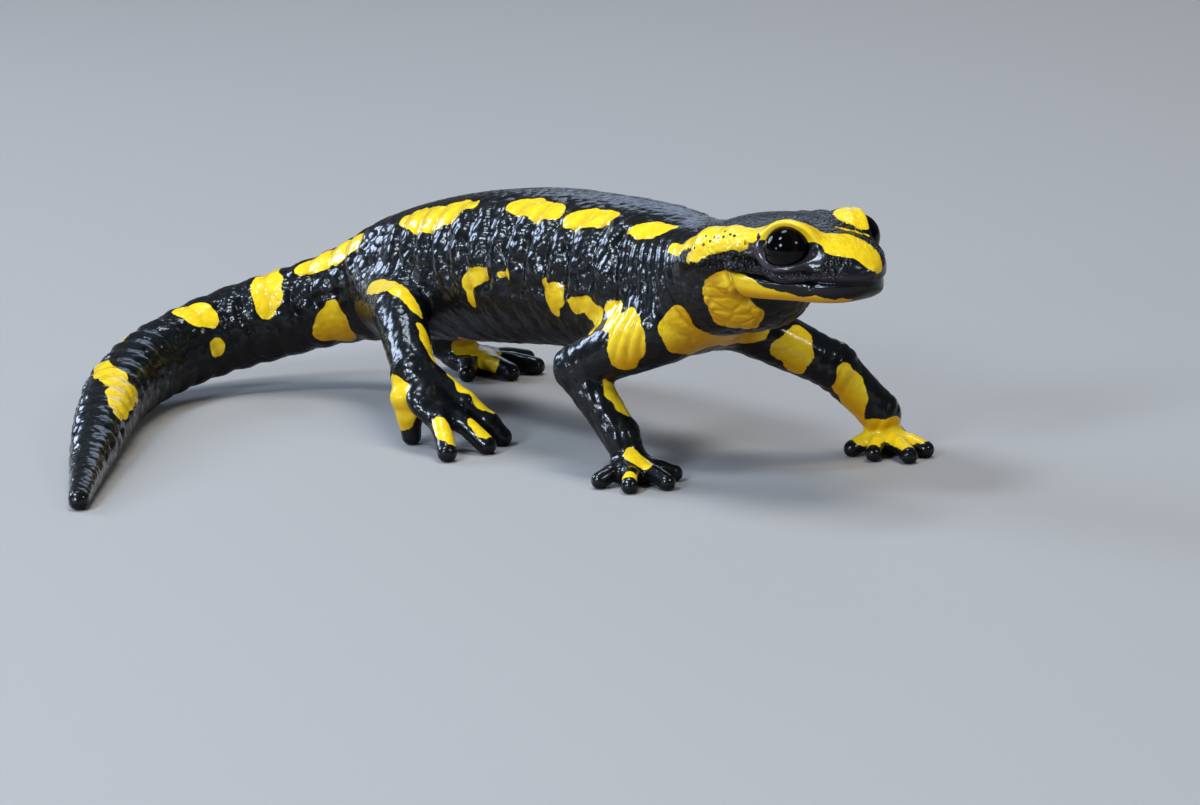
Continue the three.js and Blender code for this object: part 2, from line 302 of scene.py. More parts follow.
def rod(p, start, end, start_radius, end_radius):
    """About how far a point lies outside a tapering rod with round ends."""
    run = end - start
    share = np.clip(((p - start) @ run) / (run @ run), 0, 1)[:, None]
    off = lengths(p - start - share * run)
    return off - (start_radius + (end_radius - start_radius) * share[:, 0])


def chain(p, beads, soft=0.6):
    """About how far a point lies outside a row of rods, through beads of place and radius."""
    beads = np.array(beads, float)
    outside = np.full(len(p), 1e3)
    for a, b in zip(beads, beads[1:]):
        outside = smooth_min(outside, rod(p, a[:3], b[:3], a[3], b[3]), soft)
    return outside


def opening_at(h):
    """How far out a point lies in the lids' opening, 1 on its rim, then its place against the ball."""
    ahead = np.array([-math.cos(EYE_FORWARD), -math.sin(EYE_FORWARD), 0])
    over = np.cross(eye_facing, ahead)
    over *= math.copysign(1, over[2])
    off = h - EYE_AT
    far = lengths(off)
    x, y, z = off @ ahead, off @ over, off @ eye_facing
    turn = np.arctan2(np.hypot(x, y), z) / np.maximum(np.hypot(x, y), 1e-6)
    tall = np.where(y > 0, OPENING_OVER, OPENING_UNDER)
    long = np.where(x > 0, OPENING_AHEAD, OPENING_BEHIND)
    return np.hypot(x * turn / long, y * turn / tall), far, y


def from_rim(rim):
    """Distance along the ball from the opening's rim, more than 0 inside the opening."""
    return (1 - rim) * EYE_RADIUS * OPENING_OVER


def with_lids(h, outside):
    """Adds the lids' shell over the ball to the head."""
    rim, far, _ = opening_at(h)
    lid = smooth_max(far - EYE_RADIUS - LID_THICK, from_rim(rim), 0.3)
    return smooth_min(outside, lid, 1.0)


def with_opening(h, outside):
    """Clears the opening between the lids, down to just under the ball's surface."""
    rim, far, _ = opening_at(h)
    opening = smooth_max(-from_rim(rim), EYE_RADIUS - 0.3 - far, 0.15)
    return smooth_max(outside, -opening, 0.2)


def head_form(p):
    h = to_head(p)
    h[:, 1] = np.abs(h[:, 1])
    back = np.clip(h[:, 0], 0, HEAD_END)
    beyond = np.maximum(-h[:, 0], 0) + np.maximum(h[:, 0] - HEAD_END, 0)
    skull = rows_at(skull_rows, back, head_step)
    wide = np.maximum(skull[:, 0] * rounded_end(back, SNOUT_ROUND), THINNEST)
    over = np.maximum((skull[:, 2] - skull[:, 1]) * rounded_end(back, BRIDGE_ROUND), THINNEST)
    under = np.maximum(skull[:, 3] * rounded_end(back, LIP_ROUND), THINNEST)
    upper = oval(h[:, 1], h[:, 2] - skull[:, 1], wide, over, under, SKULL_SQUARE, LIP_SQUARE)
    upper = past_end(upper, beyond)
    jaw = rows_at(jaw_rows, back, head_step)
    from_chin = back - JAW_START
    wide = np.maximum(jaw[:, 0] * rounded_end(from_chin, JAW_ROUND), THINNEST)
    under = np.maximum((jaw[:, 2] + jaw[:, 1]) * rounded_end(from_chin, CHIN_ROUND), THINNEST)
    over = np.maximum(LOWER_LIP * rounded_end(from_chin, LOWER_LIP_ROUND), THINNEST)
    lower = oval(h[:, 1], h[:, 2] - jaw[:, 1], wide, over, under, LIP_SQUARE, LIP_SQUARE)
    lower = past_end(lower, np.maximum(JAW_START - h[:, 0], 0) + np.maximum(h[:, 0] - JAW_END, 0))
    upper = smooth_min(upper, chain(h, GLAND), 1.0)
    upper = smooth_min(upper, egg(h, BROW_AT, BROW_SIZE), 1.2)
    near_eye = lengths(h - EYE_AT) < 6
    upper[near_eye] = with_lids(h[near_eye], upper[near_eye])
    parting = 0.15 + 2.0 * np.clip((back - MOUTH_CORNER) / 4, 0, 1)
    outside = smooth_min(upper, lower, parting)
    outside[near_eye] = with_opening(h[near_eye], outside[near_eye])
    return outside


# ---- Legs --------------------------------------------------------------------
# Each leg is three soft rods, from the body to the wrist or ankle, with a flat palm and four
# fingers or five toes. All is one flesh with the body.

HAND = {"radius": 2.6, "thick": 1.6, "finger": 1.15, "fingertip": 0.95}
FOOT = {"radius": 3.4, "thick": 1.7, "finger": 1.35, "fingertip": 1.1}
# Joints with their radius, then the palm's middle and the digits' ends on the floor. The sloping
# hind foot also has an outer and an inner toe that leave it higher up.
LEGS = {
    "left_arm": {
        "form": HAND,
        "joints": [(0.5, 5.5, 15.6, 3.3), (7.2, 13.6, 10.2, 2.5), (8.8, 18.6, 4.5, 2.15)],
        "palm": (8.6, 19.4, 1.5),
        "digits": [(7.8, 14.4), (12, 14.7), (15.8, 17.2), (14.8, 20.9)],
    },
    "right_arm": {
        "form": HAND,
        "joints": [(1, -5.5, 16, 3.9), (-7.3, -10, 11.4, 2.5), (-1.2, -8.8, 4.4, 1.95)],
        "palm": (0.8, -9, 1.5),
        "digits": [(0.8, -14.4), (5.6, -13.2), (7.4, -8.8), (4.2, -5)],
    },
    "left_leg": {
        "form": FOOT,
        "joints": [(-52, 4, 12.2, 4.6), (-55, 12.9, 9.6, 2.9), (-62.4, 10.2, 3.9, 2.25)],
        "palm": (-59.8, 12, 1.6),
        "digits": [(-62.6, 17.6), (-57.6, 19.8), (-52.2, 17.4), (-51.2, 12.6), (-54.8, 7.8)],
    },
    "right_leg": {
        "form": FOOT,
        "joints": [(-51.5, -4, 12.6, 4.6), (-40.5, -10.6, 13, 3), (-32.2, -14.6, 8, 2.4)],
        "palm": (-28.2, -14.8, 4.9),
        "digits": [(-20.6, -18.2), (-20.6, -12.2), (-28, -7.6)],
        "toes": [
            [(-32.4, -15, 6.9, 1.8), (-31.7, -16, 5.4, 1.75), (-31.5, -15.9, 3.4, 1.35),
             (-31.6, -15.7, 1, 1.1)],
            [(-30.2, -13.6, 7.6, 1.4), (-26.8, -11.6, 5, 1.2), (-24.6, -9.9, 2.6, 1.15),
             (-23.8, -8.8, 1, 1.1)],
        ],
    },
}
SOLE_SINK = 0.1
LIMB_SOFT = 0.8             # how softly a limb's parts run into each other
ARMPIT = 2.2                # and how softly a limb grows out of the body
KNUCKLE_RISE = 0.35
SOLE_SOFT = 0.15


def foot_form(p, leg):
    palm, form = np.array(leg["palm"]), leg["form"]
    tips = np.array([(x, y, form["fingertip"] - SOLE_SINK) for x, y in leg["digits"]])
    ahead = unit(tips.mean(0) - palm)
    across = unit(np.cross([0, 0, 1], ahead))
    plate = np.stack([ahead, across, np.cross(ahead, across)], 1)
    outside = egg((p - palm) @ plate, np.zeros(3), np.array([form["radius"], form["radius"], form["thick"]]))
    for tip in tips:
        out = unit(tip - palm)
        knuckle = palm + out * (form["radius"] - form["finger"])
        tip = tip - out * (1, 1, 0) * form["fingertip"]
        bend_at = (knuckle + tip) / 2 + (0, 0, KNUCKLE_RISE)
        digit = np.minimum(
            rod(p, knuckle, bend_at, form["finger"], form["fingertip"]),
            rod(p, bend_at, tip, form["fingertip"], form["fingertip"]))
        outside = smooth_min(outside, digit, LIMB_SOFT)
    for toe in leg.get("toes", ()):
        outside = smooth_min(outside, chain(p, toe), LIMB_SOFT)
    return outside


def leg_form(p, leg):
    limb = chain(p, [*leg["joints"], (*leg["palm"], leg["form"]["thick"])], LIMB_SOFT)
    return smooth_min(limb, foot_form(p, leg), LIMB_SOFT)


leg_boxes = {}
for name, leg in LEGS.items():
    marks = np.vstack([np.array(leg["joints"])[:, :3], [(x, y, 1) for x, y in leg["digits"]]])
    leg_boxes[name] = (marks.min(0) - 8, marks.max(0) + 8)


def outside_skin(p):
    """About how far each point lies outside the animal's skin, less than 0 inside it."""
    value = trunk_form(p)
    by_head = p[:, 0] > 0
    value[by_head] = smooth_min(value[by_head], head_form(p[by_head]), 1.2)
    for name, leg in LEGS.items():
        low, high = leg_boxes[name]
        near = ((p > low) & (p < high)).all(1)
        value[near] = smooth_min(value[near], leg_form(p[near], leg), ARMPIT)
    return smooth_max(value, -p[:, 2], SOLE_SOFT)


# ---- Skin --------------------------------------------------------------------
# One unbroken hide over all of the flesh, bare and wet, with small grains, folds at the neck and
# the joints, and a groove between each rib and the next. It is grown as a net round the forms
# above, pulled tight on them and then split finely where the detail is small.

NET_CELL = 0.5
NET_BLOCK = 4               # far from the hide the net looks only at every fourth cell
# The longest edges: on the body, on the head, on the gland and round the eye.
BODY_EDGE, HEAD_EDGE, GLAND_EDGE, EYE_EDGE = 0.36, 0.26, 0.13, 0.15


def net_round(outside, low, high, cell):
    """A net of triangles round a form, from its distances on a grid."""
    block = NET_BLOCK
    count = np.ceil((high - low) / (cell * block)).astype(int) * block + 1
    lines = [low[k] + cell * np.arange(count[k]) for k in range(3)]
    grid = np.stack(np.meshgrid(*(line[::block] for line in lines), indexing="ij"), -1)
    rough = outside(grid.reshape(-1, 3)).reshape(grid.shape[:3])
    spots = [np.minimum(np.round(np.arange(n) / block).astype(int), (n - 1) // block) for n in count]
    value = rough[np.ix_(*spots)]
    close = np.abs(value) < cell * block * 1.6
    index = np.argwhere(close)
    value[close] = outside(np.stack([lines[k][index[:, k]] for k in range(3)], 1))
    inside = value < 0
    corner = [(i, j, k) for i in (0, 1) for j in (0, 1) for k in (0, 1)]
    parts = [inside[i:count[0] - 1 + i, j:count[1] - 1 + j, k:count[2] - 1 + k] for i, j, k in corner]
    filled = np.sum(parts, axis=0)
    cells = np.argwhere((filled > 0) & (filled < 8))
    number = -np.ones(filled.shape, int)
    number[tuple(cells.T)] = np.arange(len(cells))
    at = np.stack([value[tuple((cells + c).T)] for c in corner], 1)
    total, crossings = np.zeros((len(cells), 3)), np.zeros(len(cells))
    for a in range(8):
        for b in range(a + 1, 8):
            step = np.subtract(corner[b], corner[a])
            if np.abs(step).sum() == 1:
                cut = (at[:, a] < 0) != (at[:, b] < 0)
                share = at[cut, a] / (at[cut, a] - at[cut, b])
                total[cut] += np.array(corner[a]) + share[:, None] * step
                crossings[cut] += 1
    places = low + cell * (cells + total / crossings[:, None])
    faces = []
    for axis in range(3):
        one, two = (axis + 1) % 3, (axis + 2) % 3
        ahead = np.zeros(3, int)
        ahead[axis] = 1
        here = inside[tuple(slice(0, n - a) for n, a in zip(count, ahead))]
        there = inside[tuple(slice(a, n) for n, a in zip(count, ahead))]
        for leaving in (True, False):
            edges = np.argwhere((here & ~there) if leaving else (~here & there))
            side_one, side_two = np.zeros(3, int), np.zeros(3, int)
            side_one[one], side_two[two] = 1, 1
            ring = [edges - side_one - side_two, edges - side_two, edges, edges - side_one]
            quad = np.stack([number[tuple(r.T)] for r in ring], 1)
            faces.append(quad if leaving else quad[:, ::-1])
    quads = np.vstack(faces)
    short = (lengths(places[quads[:, 0]] - places[quads[:, 2]])
             <= lengths(places[quads[:, 1]] - places[quads[:, 3]]))
    first, second = quads[short], quads[~short]
    return places, np.vstack([
        first[:, [0, 1, 2]], first[:, [0, 2, 3]], second[:, [1, 2, 3]], second[:, [1, 3, 0]]])


def pull_on(outside, p, times=3):
    """Moves points straight onto the form."""
    reach = 0.01
    for _ in range(times):
        slope = np.stack([
            outside(p + reach * np.eye(3)[k]) - outside(p - reach * np.eye(3)[k]) for k in range(3)
        ], 1) / (2 * reach)
        steep = np.maximum((slope**2).sum(1), 0.2)
        p = p - np.clip(outside(p) / steep, -0.5, 0.5)[:, None] * slope
    return p


def edges_of(triangles):
    sides = np.sort(np.vstack([triangles[:, [0, 1]], triangles[:, [1, 2]], triangles[:, [2, 0]]]), 1)
    keys, numbers = np.unique(sides[:, 0].astype(np.int64) << 32 | sides[:, 1], return_inverse=True)
    return np.stack([keys >> 32, keys & 0xFFFFFFFF], 1), numbers.reshape(3, -1).T


def added_up(numbers, values, count):
    """Adds the values up for each point, by the points' numbers."""
    return np.stack([np.bincount(numbers, values[:, k], count) for k in range(3)], 1)


def even_out(p, triangles, times):
    """Slides each point towards its neighbours' middle, so that the triangles come out even."""
    edges, _ = edges_of(triangles)
    count = np.bincount(edges.ravel(), minlength=len(p))[:, None]
    one, two = edges.T
    for _ in range(times):
        near = added_up(one, p[two], len(p)) + added_up(two, p[one], len(p))
        p = p + 0.5 * (near / count - p)
    return p


def split_long(outside, p, triangles, longest):
    """Halves every edge that is longer than the detail there allows."""
    edges, sides = edges_of(triangles)
    halfway = (p[edges[:, 0]] + p[edges[:, 1]]) / 2
    long = lengths(p[edges[:, 0]] - p[edges[:, 1]]) > longest(halfway)
    number = -np.ones(len(edges), int)
    number[long] = len(p) + np.arange(long.sum())
    p = np.vstack([p, pull_on(outside, halfway[long], 2)])
    made = number[sides]
    cut = made >= 0
    how_many = cut.sum(1)
    result = [triangles[how_many == 0]]
    pick = how_many == 3
    (a, b, c), (ab, bc, ca) = triangles[pick].T, made[pick].T
    result += [np.stack(t, 1) for t in ((a, ab, ca), (ab, b, bc), (ca, bc, c), (ab, bc, ca))]
    for k in range(3):
        order = [k, (k + 1) % 3, (k + 2) % 3]
        pick = (how_many == 1) & cut[:, k]
        (a, b, c), m = triangles[pick][:, order].T, made[pick, k]
        result += [np.stack(t, 1) for t in ((a, m, c), (m, b, c))]
        pick = (how_many == 2) & ~cut[:, k]
        (a, b, c), (_, bc, ca) = triangles[pick][:, order].T, made[pick][:, order].T
        result += [np.stack(t, 1) for t in ((ca, bc, c), (a, b, bc), (a, bc, ca))]
    return p, np.vstack(result)


def finest_edge(p):
    """How long an edge may be: short on the face, longer on the flanks."""
    h = to_head(p)
    size = np.where(h[:, 0] < 25, HEAD_EDGE, BODY_EDGE)
    h[:, 1] = np.abs(h[:, 1])
    size = np.where((h[:, 0] > 11.5) & (h[:, 0] < 20.5) & (h[:, 2] > 0.6) & (h[:, 1] > 6.6), GLAND_EDGE, size)
    return np.where(lengths(h - EYE_AT) < 3.8, EYE_EDGE, size)


NET_LOW = np.array([SPINE[:, 0].min() - 9, SPINE[:, 1].min() - 9, -1.4])
NET_HIGH = np.array([SPINE[:, 0].max() + 5, 24.0, 32.0])
hide, faces = net_round(outside_skin, NET_LOW, NET_HIGH, NET_CELL)
hide = pull_on(outside_skin, hide)
hide = pull_on(outside_skin, even_out(hide, faces, 2), 2)
for _ in range(3):
    hide, faces = split_long(outside_skin, hide, faces, finest_edge)
hide = pull_on(outside_skin, even_out(hide, faces, 1), 2)
hide[:, 2] = np.maximum(hide[:, 2], 0)

# ---- Yellow patches ----------------------------------------------------------
# The yellow is in the hide itself: two broken rows along the back, a band over each eye and gland,
# a stripe on the jaw, and patches on cheek, chest, flanks, tail and legs. No two animals match.

# Each patch is a row of spots. On the head: back, right, up, radius, for the right side.
HEAD_PATCHES = [
    [(24.7, 5.5, 0.5, 0.7), (23, 6.3, 1.1, 0.9), (21.1, 7.1, 1.7, 1.15), (19.3, 7.2, 2.5, 1.25),
     (17, 7.4, 3.3, 1.35), (15, 7, 3.8, 1.35), (13.1, 6.9, 3.7, 1.15), (11.7, 6.5, 3.6, 1.1)],
    [(18.6, 8.4, 0.6, 0.65), (17.5, 8.7, 1.3, 0.85), (16.4, 8.5, 2, 0.95), (15.2, 8.2, 2.5, 0.95),
     (13.6, 8, 2.9, 0.85), (12.2, 7.4, 2.9, 0.85), (10.8, 6.8, 2.9, 0.75)],
    [(11, 5.7, 3.9, 1.05), (9.2, 5.9, 4.5, 1.05), (7.1, 5.3, 4.9, 0.95), (5.7, 4.6, 4.5, 0.95)],
    [(14, 7.4, -0.8, 0.5), (12.6, 7.4, -1.4, 0.85), (11.9, 7.2, -2, 1.05), (10.9, 6.8, -2.4, 1.1),
     (10, 6.4, -2.7, 0.95), (8.9, 5.9, -2.9, 0.85), (7.6, 5.5, -2.95, 0.75), (6.5, 5, -3, 0.68),
     (5.2, 4.6, -3, 0.62), (3.8, 4.2, -3, 0.56), (2.9, 3.6, -3, 0.5), (2.1, 2.7, -2.95, 0.4),
     (1.6, 1.8, -2.9, 0.3)],
    [(12.4, 6.6, -3.1, 1.2), (13.6, 6.2, -3.5, 1.3)],
    [(14.2, 7.4, -1, 0.7), (14, 7.3, -2.2, 1.1), (15.2, 7.5, -1.9, 1), (16.4, 7.3, -2.6, 1.1),
     (17, 7.1, -3.3, 1), (17.2, 6.6, -4.3, 1), (17.1, 6.1, -5.4, 1.1), (17.6, 5.2, -6.5, 1),
     (16, 4.7, -6.5, 1.3), (15.1, 3.6, -6.8, 1), (14.3, 3.8, -5.8, 1.1), (14.8, 5, -4.9, 1.4),
     (15.8, 6, -4.6, 1.5)],
    [(22.9, 6.3, -6.3, 1.2), (23.9, 6, -7.8, 1.7), (24, 4.8, -9, 2.2), (23.6, 2.8, -9.9, 2.1),
     (22.5, 0.5, -10, 1.5)],
]
# The band runs over the right nostril and across the snout, and stops at the left lid.
SNOUT_PATCH = [
    (5.7, 4.3, 4.7, 0.7), (5.2, 3.6, 4, 1), (4.2, 2.7, 3.3, 1.3), (3.4, 1.9, 2.8, 1.6),
    (2.4, 0.5, 2.4, 1.8), (1.7, -0.2, 2, 1.8), (0.8, -0.5, 1.4, 1.6), (0.3, -0.7, 0.8, 1.1),
]
SNOUT_LINE = [(5.8, -0.3, 4.05, 0.1), (4.8, -0.9, 3.75, 0.14), (4.3, -2.0, 3.3, 0.18), (3.9, -3.1, 2.9, 0.2)]
LEFT_LID_PATCH = [(8.2, -4.4, 5.2, 0.7), (7.2, -3.2, 5.0, 1.3), (6.2, -3.6, 4.7, 1.4), (5.2, -3.4, 4.0, 1.0)]
# On the left side the band and the throat's patch have gaps here.
LEFT_GAP = [
    (10.6, -3.8, 4.7, 1.9), (13.8, -5.4, 4.6, 1.7), (12.6, -5.5, 4, 2), (11.4, -7.2, 2.6, 1.6),
    (16.5, -6.4, 4.3, 1.7), (18.4, -7, 3.5, 1.6), (13.5, -3.4, -6.4, 2), (15.2, -3.4, -6.8, 2.2),
    (17.4, -4, -7.2, 2.3),
]
# Black lines: one that parts the band's hind end, and one at the lids' hind corner.
BAND_STRIPE = [(20.9, 7.9, -0.4, 0.3), (20.4, 7.8, 0.6, 0.2), (20.0, 7.8, 1.1, 0.1)]
LID_NOTCH = [(10.6, 6.1, 3.9, 0.14), (10.2, 6.4, 3.4, 0.18), (10.1, 6.5, 3.0, 0.12)]
# On the body and the tail: back, degrees round from the spine to the right, radius.
BODY_PATCHES = [
    [(25.8, 26, 0.3), (27.6, 31, 0.9), (29, 34, 1.2), (31, 37, 1.1), (32.4, 40, 0.5)],
    [(36.8, 30, 0.8), (38.2, 34, 1.4), (40.6, 37, 1.6), (42.6, 40, 1.2)],
    [(46.6, 37, 1.3), (48.6, 37, 1.5), (51.5, 34, 1.6), (53.8, 34, 1.4)],
    [(62.6, 34, 1.1), (65, 37, 1.7), (67.4, 43, 2), (70.8, 43, 2), (73.6, 38, 1.6), (76.4, 37, 1)],
    [(86.6, 37, 1.3), (90.4, 32, 1.7), (94, 29, 1.7), (96.8, 26, 1.2)],
    [(102, 4, 1.5), (102.2, 28, 1.9), (102.4, 48, 1.8), (103.2, 66, 1.2)],
    [(114, 12, 1.5), (113, 30, 1.8), (112.2, 44, 1.3)],
    [(112.3, 90, 1), (112.7, 96, 0.9)],
    [(93.2, 99, 1.1), (94, 116, 1.8), (95.6, 128, 1.7), (93.6, 142, 1.4)],
    [(131.4, -30, 1), (133.8, -18, 1.4), (136.4, 4, 1.7), (139, 26, 1.9), (138.4, 50, 1.5),
     (142.6, 40, 1.8), (146, 43, 1.3), (148.6, 46, 0.7)],
    [(55.2, 87, 0.6), (56.6, 89, 0.9), (58.2, 91, 1.1), (59.2, 96, 0.9), (59, 104, 0.55), (59.2, 111, 0.3)],
    [(52.4, 88, 0.4), (50.8, 87, 0.6)],
    [(44, 91, 0.8), (43.2, 98, 1.2), (43, 105, 1.1), (42, 95, 0.9), (41.6, 102, 0.7)],
    [(40.6, 100, 0.35), (39.2, 103, 0.8), (38, 102, 0.8), (37.2, 100, 0.4)],
    [(36.8, 99, 0.7), (36.4, 106, 1), (35.4, 112, 0.9), (34.6, 108, 0.8), (34.4, 114, 0.6)],
    [(32.8, 102, 0.9), (31.6, 105, 1.1), (31, 110, 0.9)],
    [(67, 168, 1), (70, 160, 1.3)],
    [(46, 172, 0.9), (48.5, 178, 1.1)],
    [(27, -42, 0.8), (29.6, -44, 1.4), (33, -42, 1.5), (35.4, -38, 0.9)],
    [(39.4, -33, 0.9), (42, -38, 1.6), (45, -37, 1.3)],
    [(50, -36, 1.2), (53.6, -38, 1.8), (57.4, -35, 1.4)],
    [(62, -40, 1), (65, -38, 1.5), (68, -33, 1.1)],
    [(73, -34, 1.1), (77, -38, 1.7), (81, -36, 1.2)],
    [(90, -30, 1.3), (94, -34, 1.7), (97, -38, 1.2)],
    [(108, -26, 1.4), (110.6, -48, 1.7), (112, -70, 1)],
    [(122, -40, 1.2), (125, -60, 1.5)],
    [(34, -96, 0.9), (37, -104, 1.3), (40, -110, 0.8)],
    [(48, -90, 0.9), (50.6, -98, 1.2)],
    [(61, -100, 0.8), (64, -106, 1.2), (66.4, -112, 0.7)],
    [(90, -110, 1.2), (92.5, -126, 1.5)],
    [(27, -112, 1.2), (25, -130, 1.8), (24, -150, 1.8)],
]
# On the legs: forward, left, up, radius.
LEG_PATCHES = [
    [(0.8, -8.7, 18.5, 0.5), (0.8, -9.2, 17, 1.9), (0.9, -9.4, 15.3, 2.4), (0.4, -9.3, 13.6, 1.8)],
    [(-2.4, -8.6, 17.9, 1), (-1.7, -9.4, 16.7, 1)],
    [(-6.9, -8.3, 17.4, 0.8), (-5.2, -8.8, 16.4, 0.9), (-4.6, -10, 15.7, 0.5)],
    [(-3, -9.7, 10.6, 0.35), (-2.6, -9, 9.3, 0.95), (-1.7, -8.1, 7.8, 1.3), (-1.7, -7.5, 7, 0.8)],
    [(-47.4, -9.9, 15, 1), (-45.4, -10.6, 15.6, 1.2), (-42.8, -11, 16, 1.2),
     (-39.6, -11.4, 16, 0.9), (-38.2, -11.1, 15.3, 0.65), (-36.8, -11, 14, 0.55),
     (-36, -10.8, 13.3, 0.25)],
    [(-34.7, -11.8, 12.5, 0.4), (-33.1, -12, 11.2, 0.8), (-31.3, -12.4, 9.5, 0.85),
     (-30.4, -12.5, 8.3, 0.65), (-29.3, -13, 7.5, 0.25)],
    [(-28.8, -12.4, 7.4, 0.6), (-27.2, -11.4, 6.2, 1), (-25.8, -10.4, 4.8, 1.1), (-24.7, -9.8, 3.6, 0.8)],
    [(-22.9, -13.2, 3.4, 0.65), (-21.7, -12.7, 2.6, 0.8), (-20.9, -12.4, 1.8, 0.5)],
    [(-32.4, -16.4, 7.2, 1.2), (-31.4, -17.2, 5.8, 1.9), (-31.2, -17, 4.2, 1.6), (-31.4, -16.6, 2.9, 1.2)],
    [(-23.9, -17, 3.9, 0.9), (-22.3, -17.2, 3, 1), (-21.4, -17.2, 2.1, 0.8)],
    [(6, 7.6, 12.6, 1.3), (6.5, 9.2, 13.4, 1.5), (6.4, 9.4, 12, 1.6), (6.2, 9.2, 10.8, 1.2)],
    [(9.8, 13, 9.9, 1), (9.7, 13.7, 8.3, 1.7), (9.3, 14.4, 6.6, 1.4), (8.4, 15.6, 4.9, 0.9),
     (7.9, 16.3, 4, 0.6)],
    [(7.9, 16, 2.4, 1.5), (9.6, 17.4, 2.7, 1.7), (10.6, 18.8, 2.7, 1.6), (12.8, 18.2, 2.2, 1.1)],
    [(7.8, 16, 1.9, 1.1), (7.8, 15.2, 1, 0.8)],
    [(10.4, 16.4, 1.9, 1.2), (11.4, 15.2, 1.2, 0.8)],
    [(12.6, 18.2, 2, 1.1), (14.4, 17.6, 1.4, 0.9)],
    [(12, 20.2, 2, 1), (13.4, 20.6, 1.4, 0.8)],
    [(-59.1, 9.9, 3.4, 1.1), (-58, 11.4, 3.2, 1.3), (-56.8, 12.8, 2.8, 1.2)],
    [(-56.2, 11.4, 1.8, 0.9), (-54.4, 11.8, 1.6, 1)],
    [(-55.4, 15.2, 1.8, 0.9), (-54, 16.2, 1.4, 0.8)],
    [(-54, 10.4, 12.2, 1.6), (-54.6, 13.2, 11.6, 1.5), (-56, 14.8, 9.6, 1.1)],
    [(1.6, -9.8, 3.2, 0.9), (3.6, -9.4, 2.6, 0.9)],
    [(4.2, -12.2, 1.6, 0.7), (5, -12.8, 1.4, 0.7)],
]
# Small dark pores along the gland, as back, right, up.
PORES = [
    (19.5, 7.9, 1.3), (18.6, 8.2, 1.3), (17.7, 8.6, 1.7), (17, 8.5, 1.6), (16.4, 8.5, 2.2),
    (15.7, 8.2, 2.6), (17.4, 7.9, 2.7), (16.5, 7.9, 3), (15.4, 7.9, 3.1), (14.6, 7.9, 3),
    (13.9, 7.9, 3.2), (13.3, 7.5, 3.5), (12.8, 7.4, 3.4), (14.2, 7.4, 3.7),
]
PORE_SIZE = 0.2
CLAW_DARK = 1.5             # the digits' ends stay black for this length
LID_DARK = 0.16             # the lower lids' edges for this width
LID_YELLOW = 0.5            # and the upper lids' edges are yellow right in to the ball
PORE_EDGE = 0.05
EDGE_WANDER = 0.22
PATCH_SOFT = 0.4
NO_YELLOW = -50.0


def chance(cell, seed):
    """Uneven numbers from 0 to 1 that belong to whole-number places, the same every time."""
    mixed = cell[:, 0] * 73856093 ^ cell[:, 1] * 19349663 ^ cell[:, 2] * 83492791 ^ (seed * 40503 + 17)
    mixed = (mixed ^ mixed >> 13) * 1274126177 & 0xFFFFFFFF
    mixed = (mixed ^ mixed >> 15) * 668265263 & 0xFFFFFFFF
    return (mixed ^ mixed >> 16 & 0xFFFFFF) % 100003 / 100003


def cells_of(reach):
    return [np.array([i, j, k]) for i in reach for j in reach for k in reach]


def clouds(p, size, seed):
    """A smooth uneven value from -1 to 1, with lumps of about one size."""
    at = p / size
    home = np.floor(at).astype(np.int64)
    t = at - home
    t = t * t * (3 - 2 * t)
    total = sum(np.prod(np.where(c, t, 1 - t), 1) * chance(home + c, seed) for c in cells_of((0, 1)))
    return 2 * total - 1


def ease(value, start, end):
    t = np.clip((value - start) / (end - start), 0, 1)
    return t * t * (3 - 2 * t)


def on_body(spot):
    """A place on the trunk's surface, from its distance back and degrees round, with the spot's radius."""
    row = rows_at(body_rows, np.array([spot[0]]), middle_back[1])[0]
    across, height = math.sin(math.radians(spot[1])), math.cos(math.radians(spot[1]))
    tall = row[16] if height > 0 else row[17]
    size = (abs(across) / row[15]) ** TRUNK_SQUARE + (abs(height) / tall) ** TRUNK_SQUARE
    size **= -1 / TRUNK_SQUARE
    return [*(row[:3] + size * (across * row[9:12] + height * row[12:15])), spot[2]]


def on_face(spots, side=1):
    """The spots' places on the head, or on its left side with side -1."""
    return [[*from_head((back, side * right, up)), radius] for back, right, up, radius in spots]


def inside_spots(spots):
    """How far each point of the hide lies inside a row of spots."""
    spots = np.array(spots)
    reach = spots[:, 3].max() + 2
    near = ((hide > spots[:, :3].min(0) - reach) & (hide < spots[:, :3].max(0) + reach)).all(1)
    value = np.full(len(hide), NO_YELLOW)
    value[near] = -chain(hide[near], spots)
    return value


back, _, off, row = along_body(hide)
round_side = np.abs(np.degrees(np.arctan2(*across_line(off, row))))
mirrored = to_head(hide)
mirrored[:, 1] = np.abs(mirrored[:, 1])
face_back, face_side, face_up = mirrored.T
on_trunk = 1 - ease(np.abs(trunk_form(hide)), 0.5, 2.0)
on_head = (1 - ease(np.abs(head_form(hide)), 0.3, 1.5)) * (face_back < 24)

rim, _, below = opening_at(mirrored)
outside_rim = -from_rim(rim)
by_lid = (lengths(mirrored - EYE_AT) < EYE_RADIUS + 2.2) & (outside_rim > -1.5)

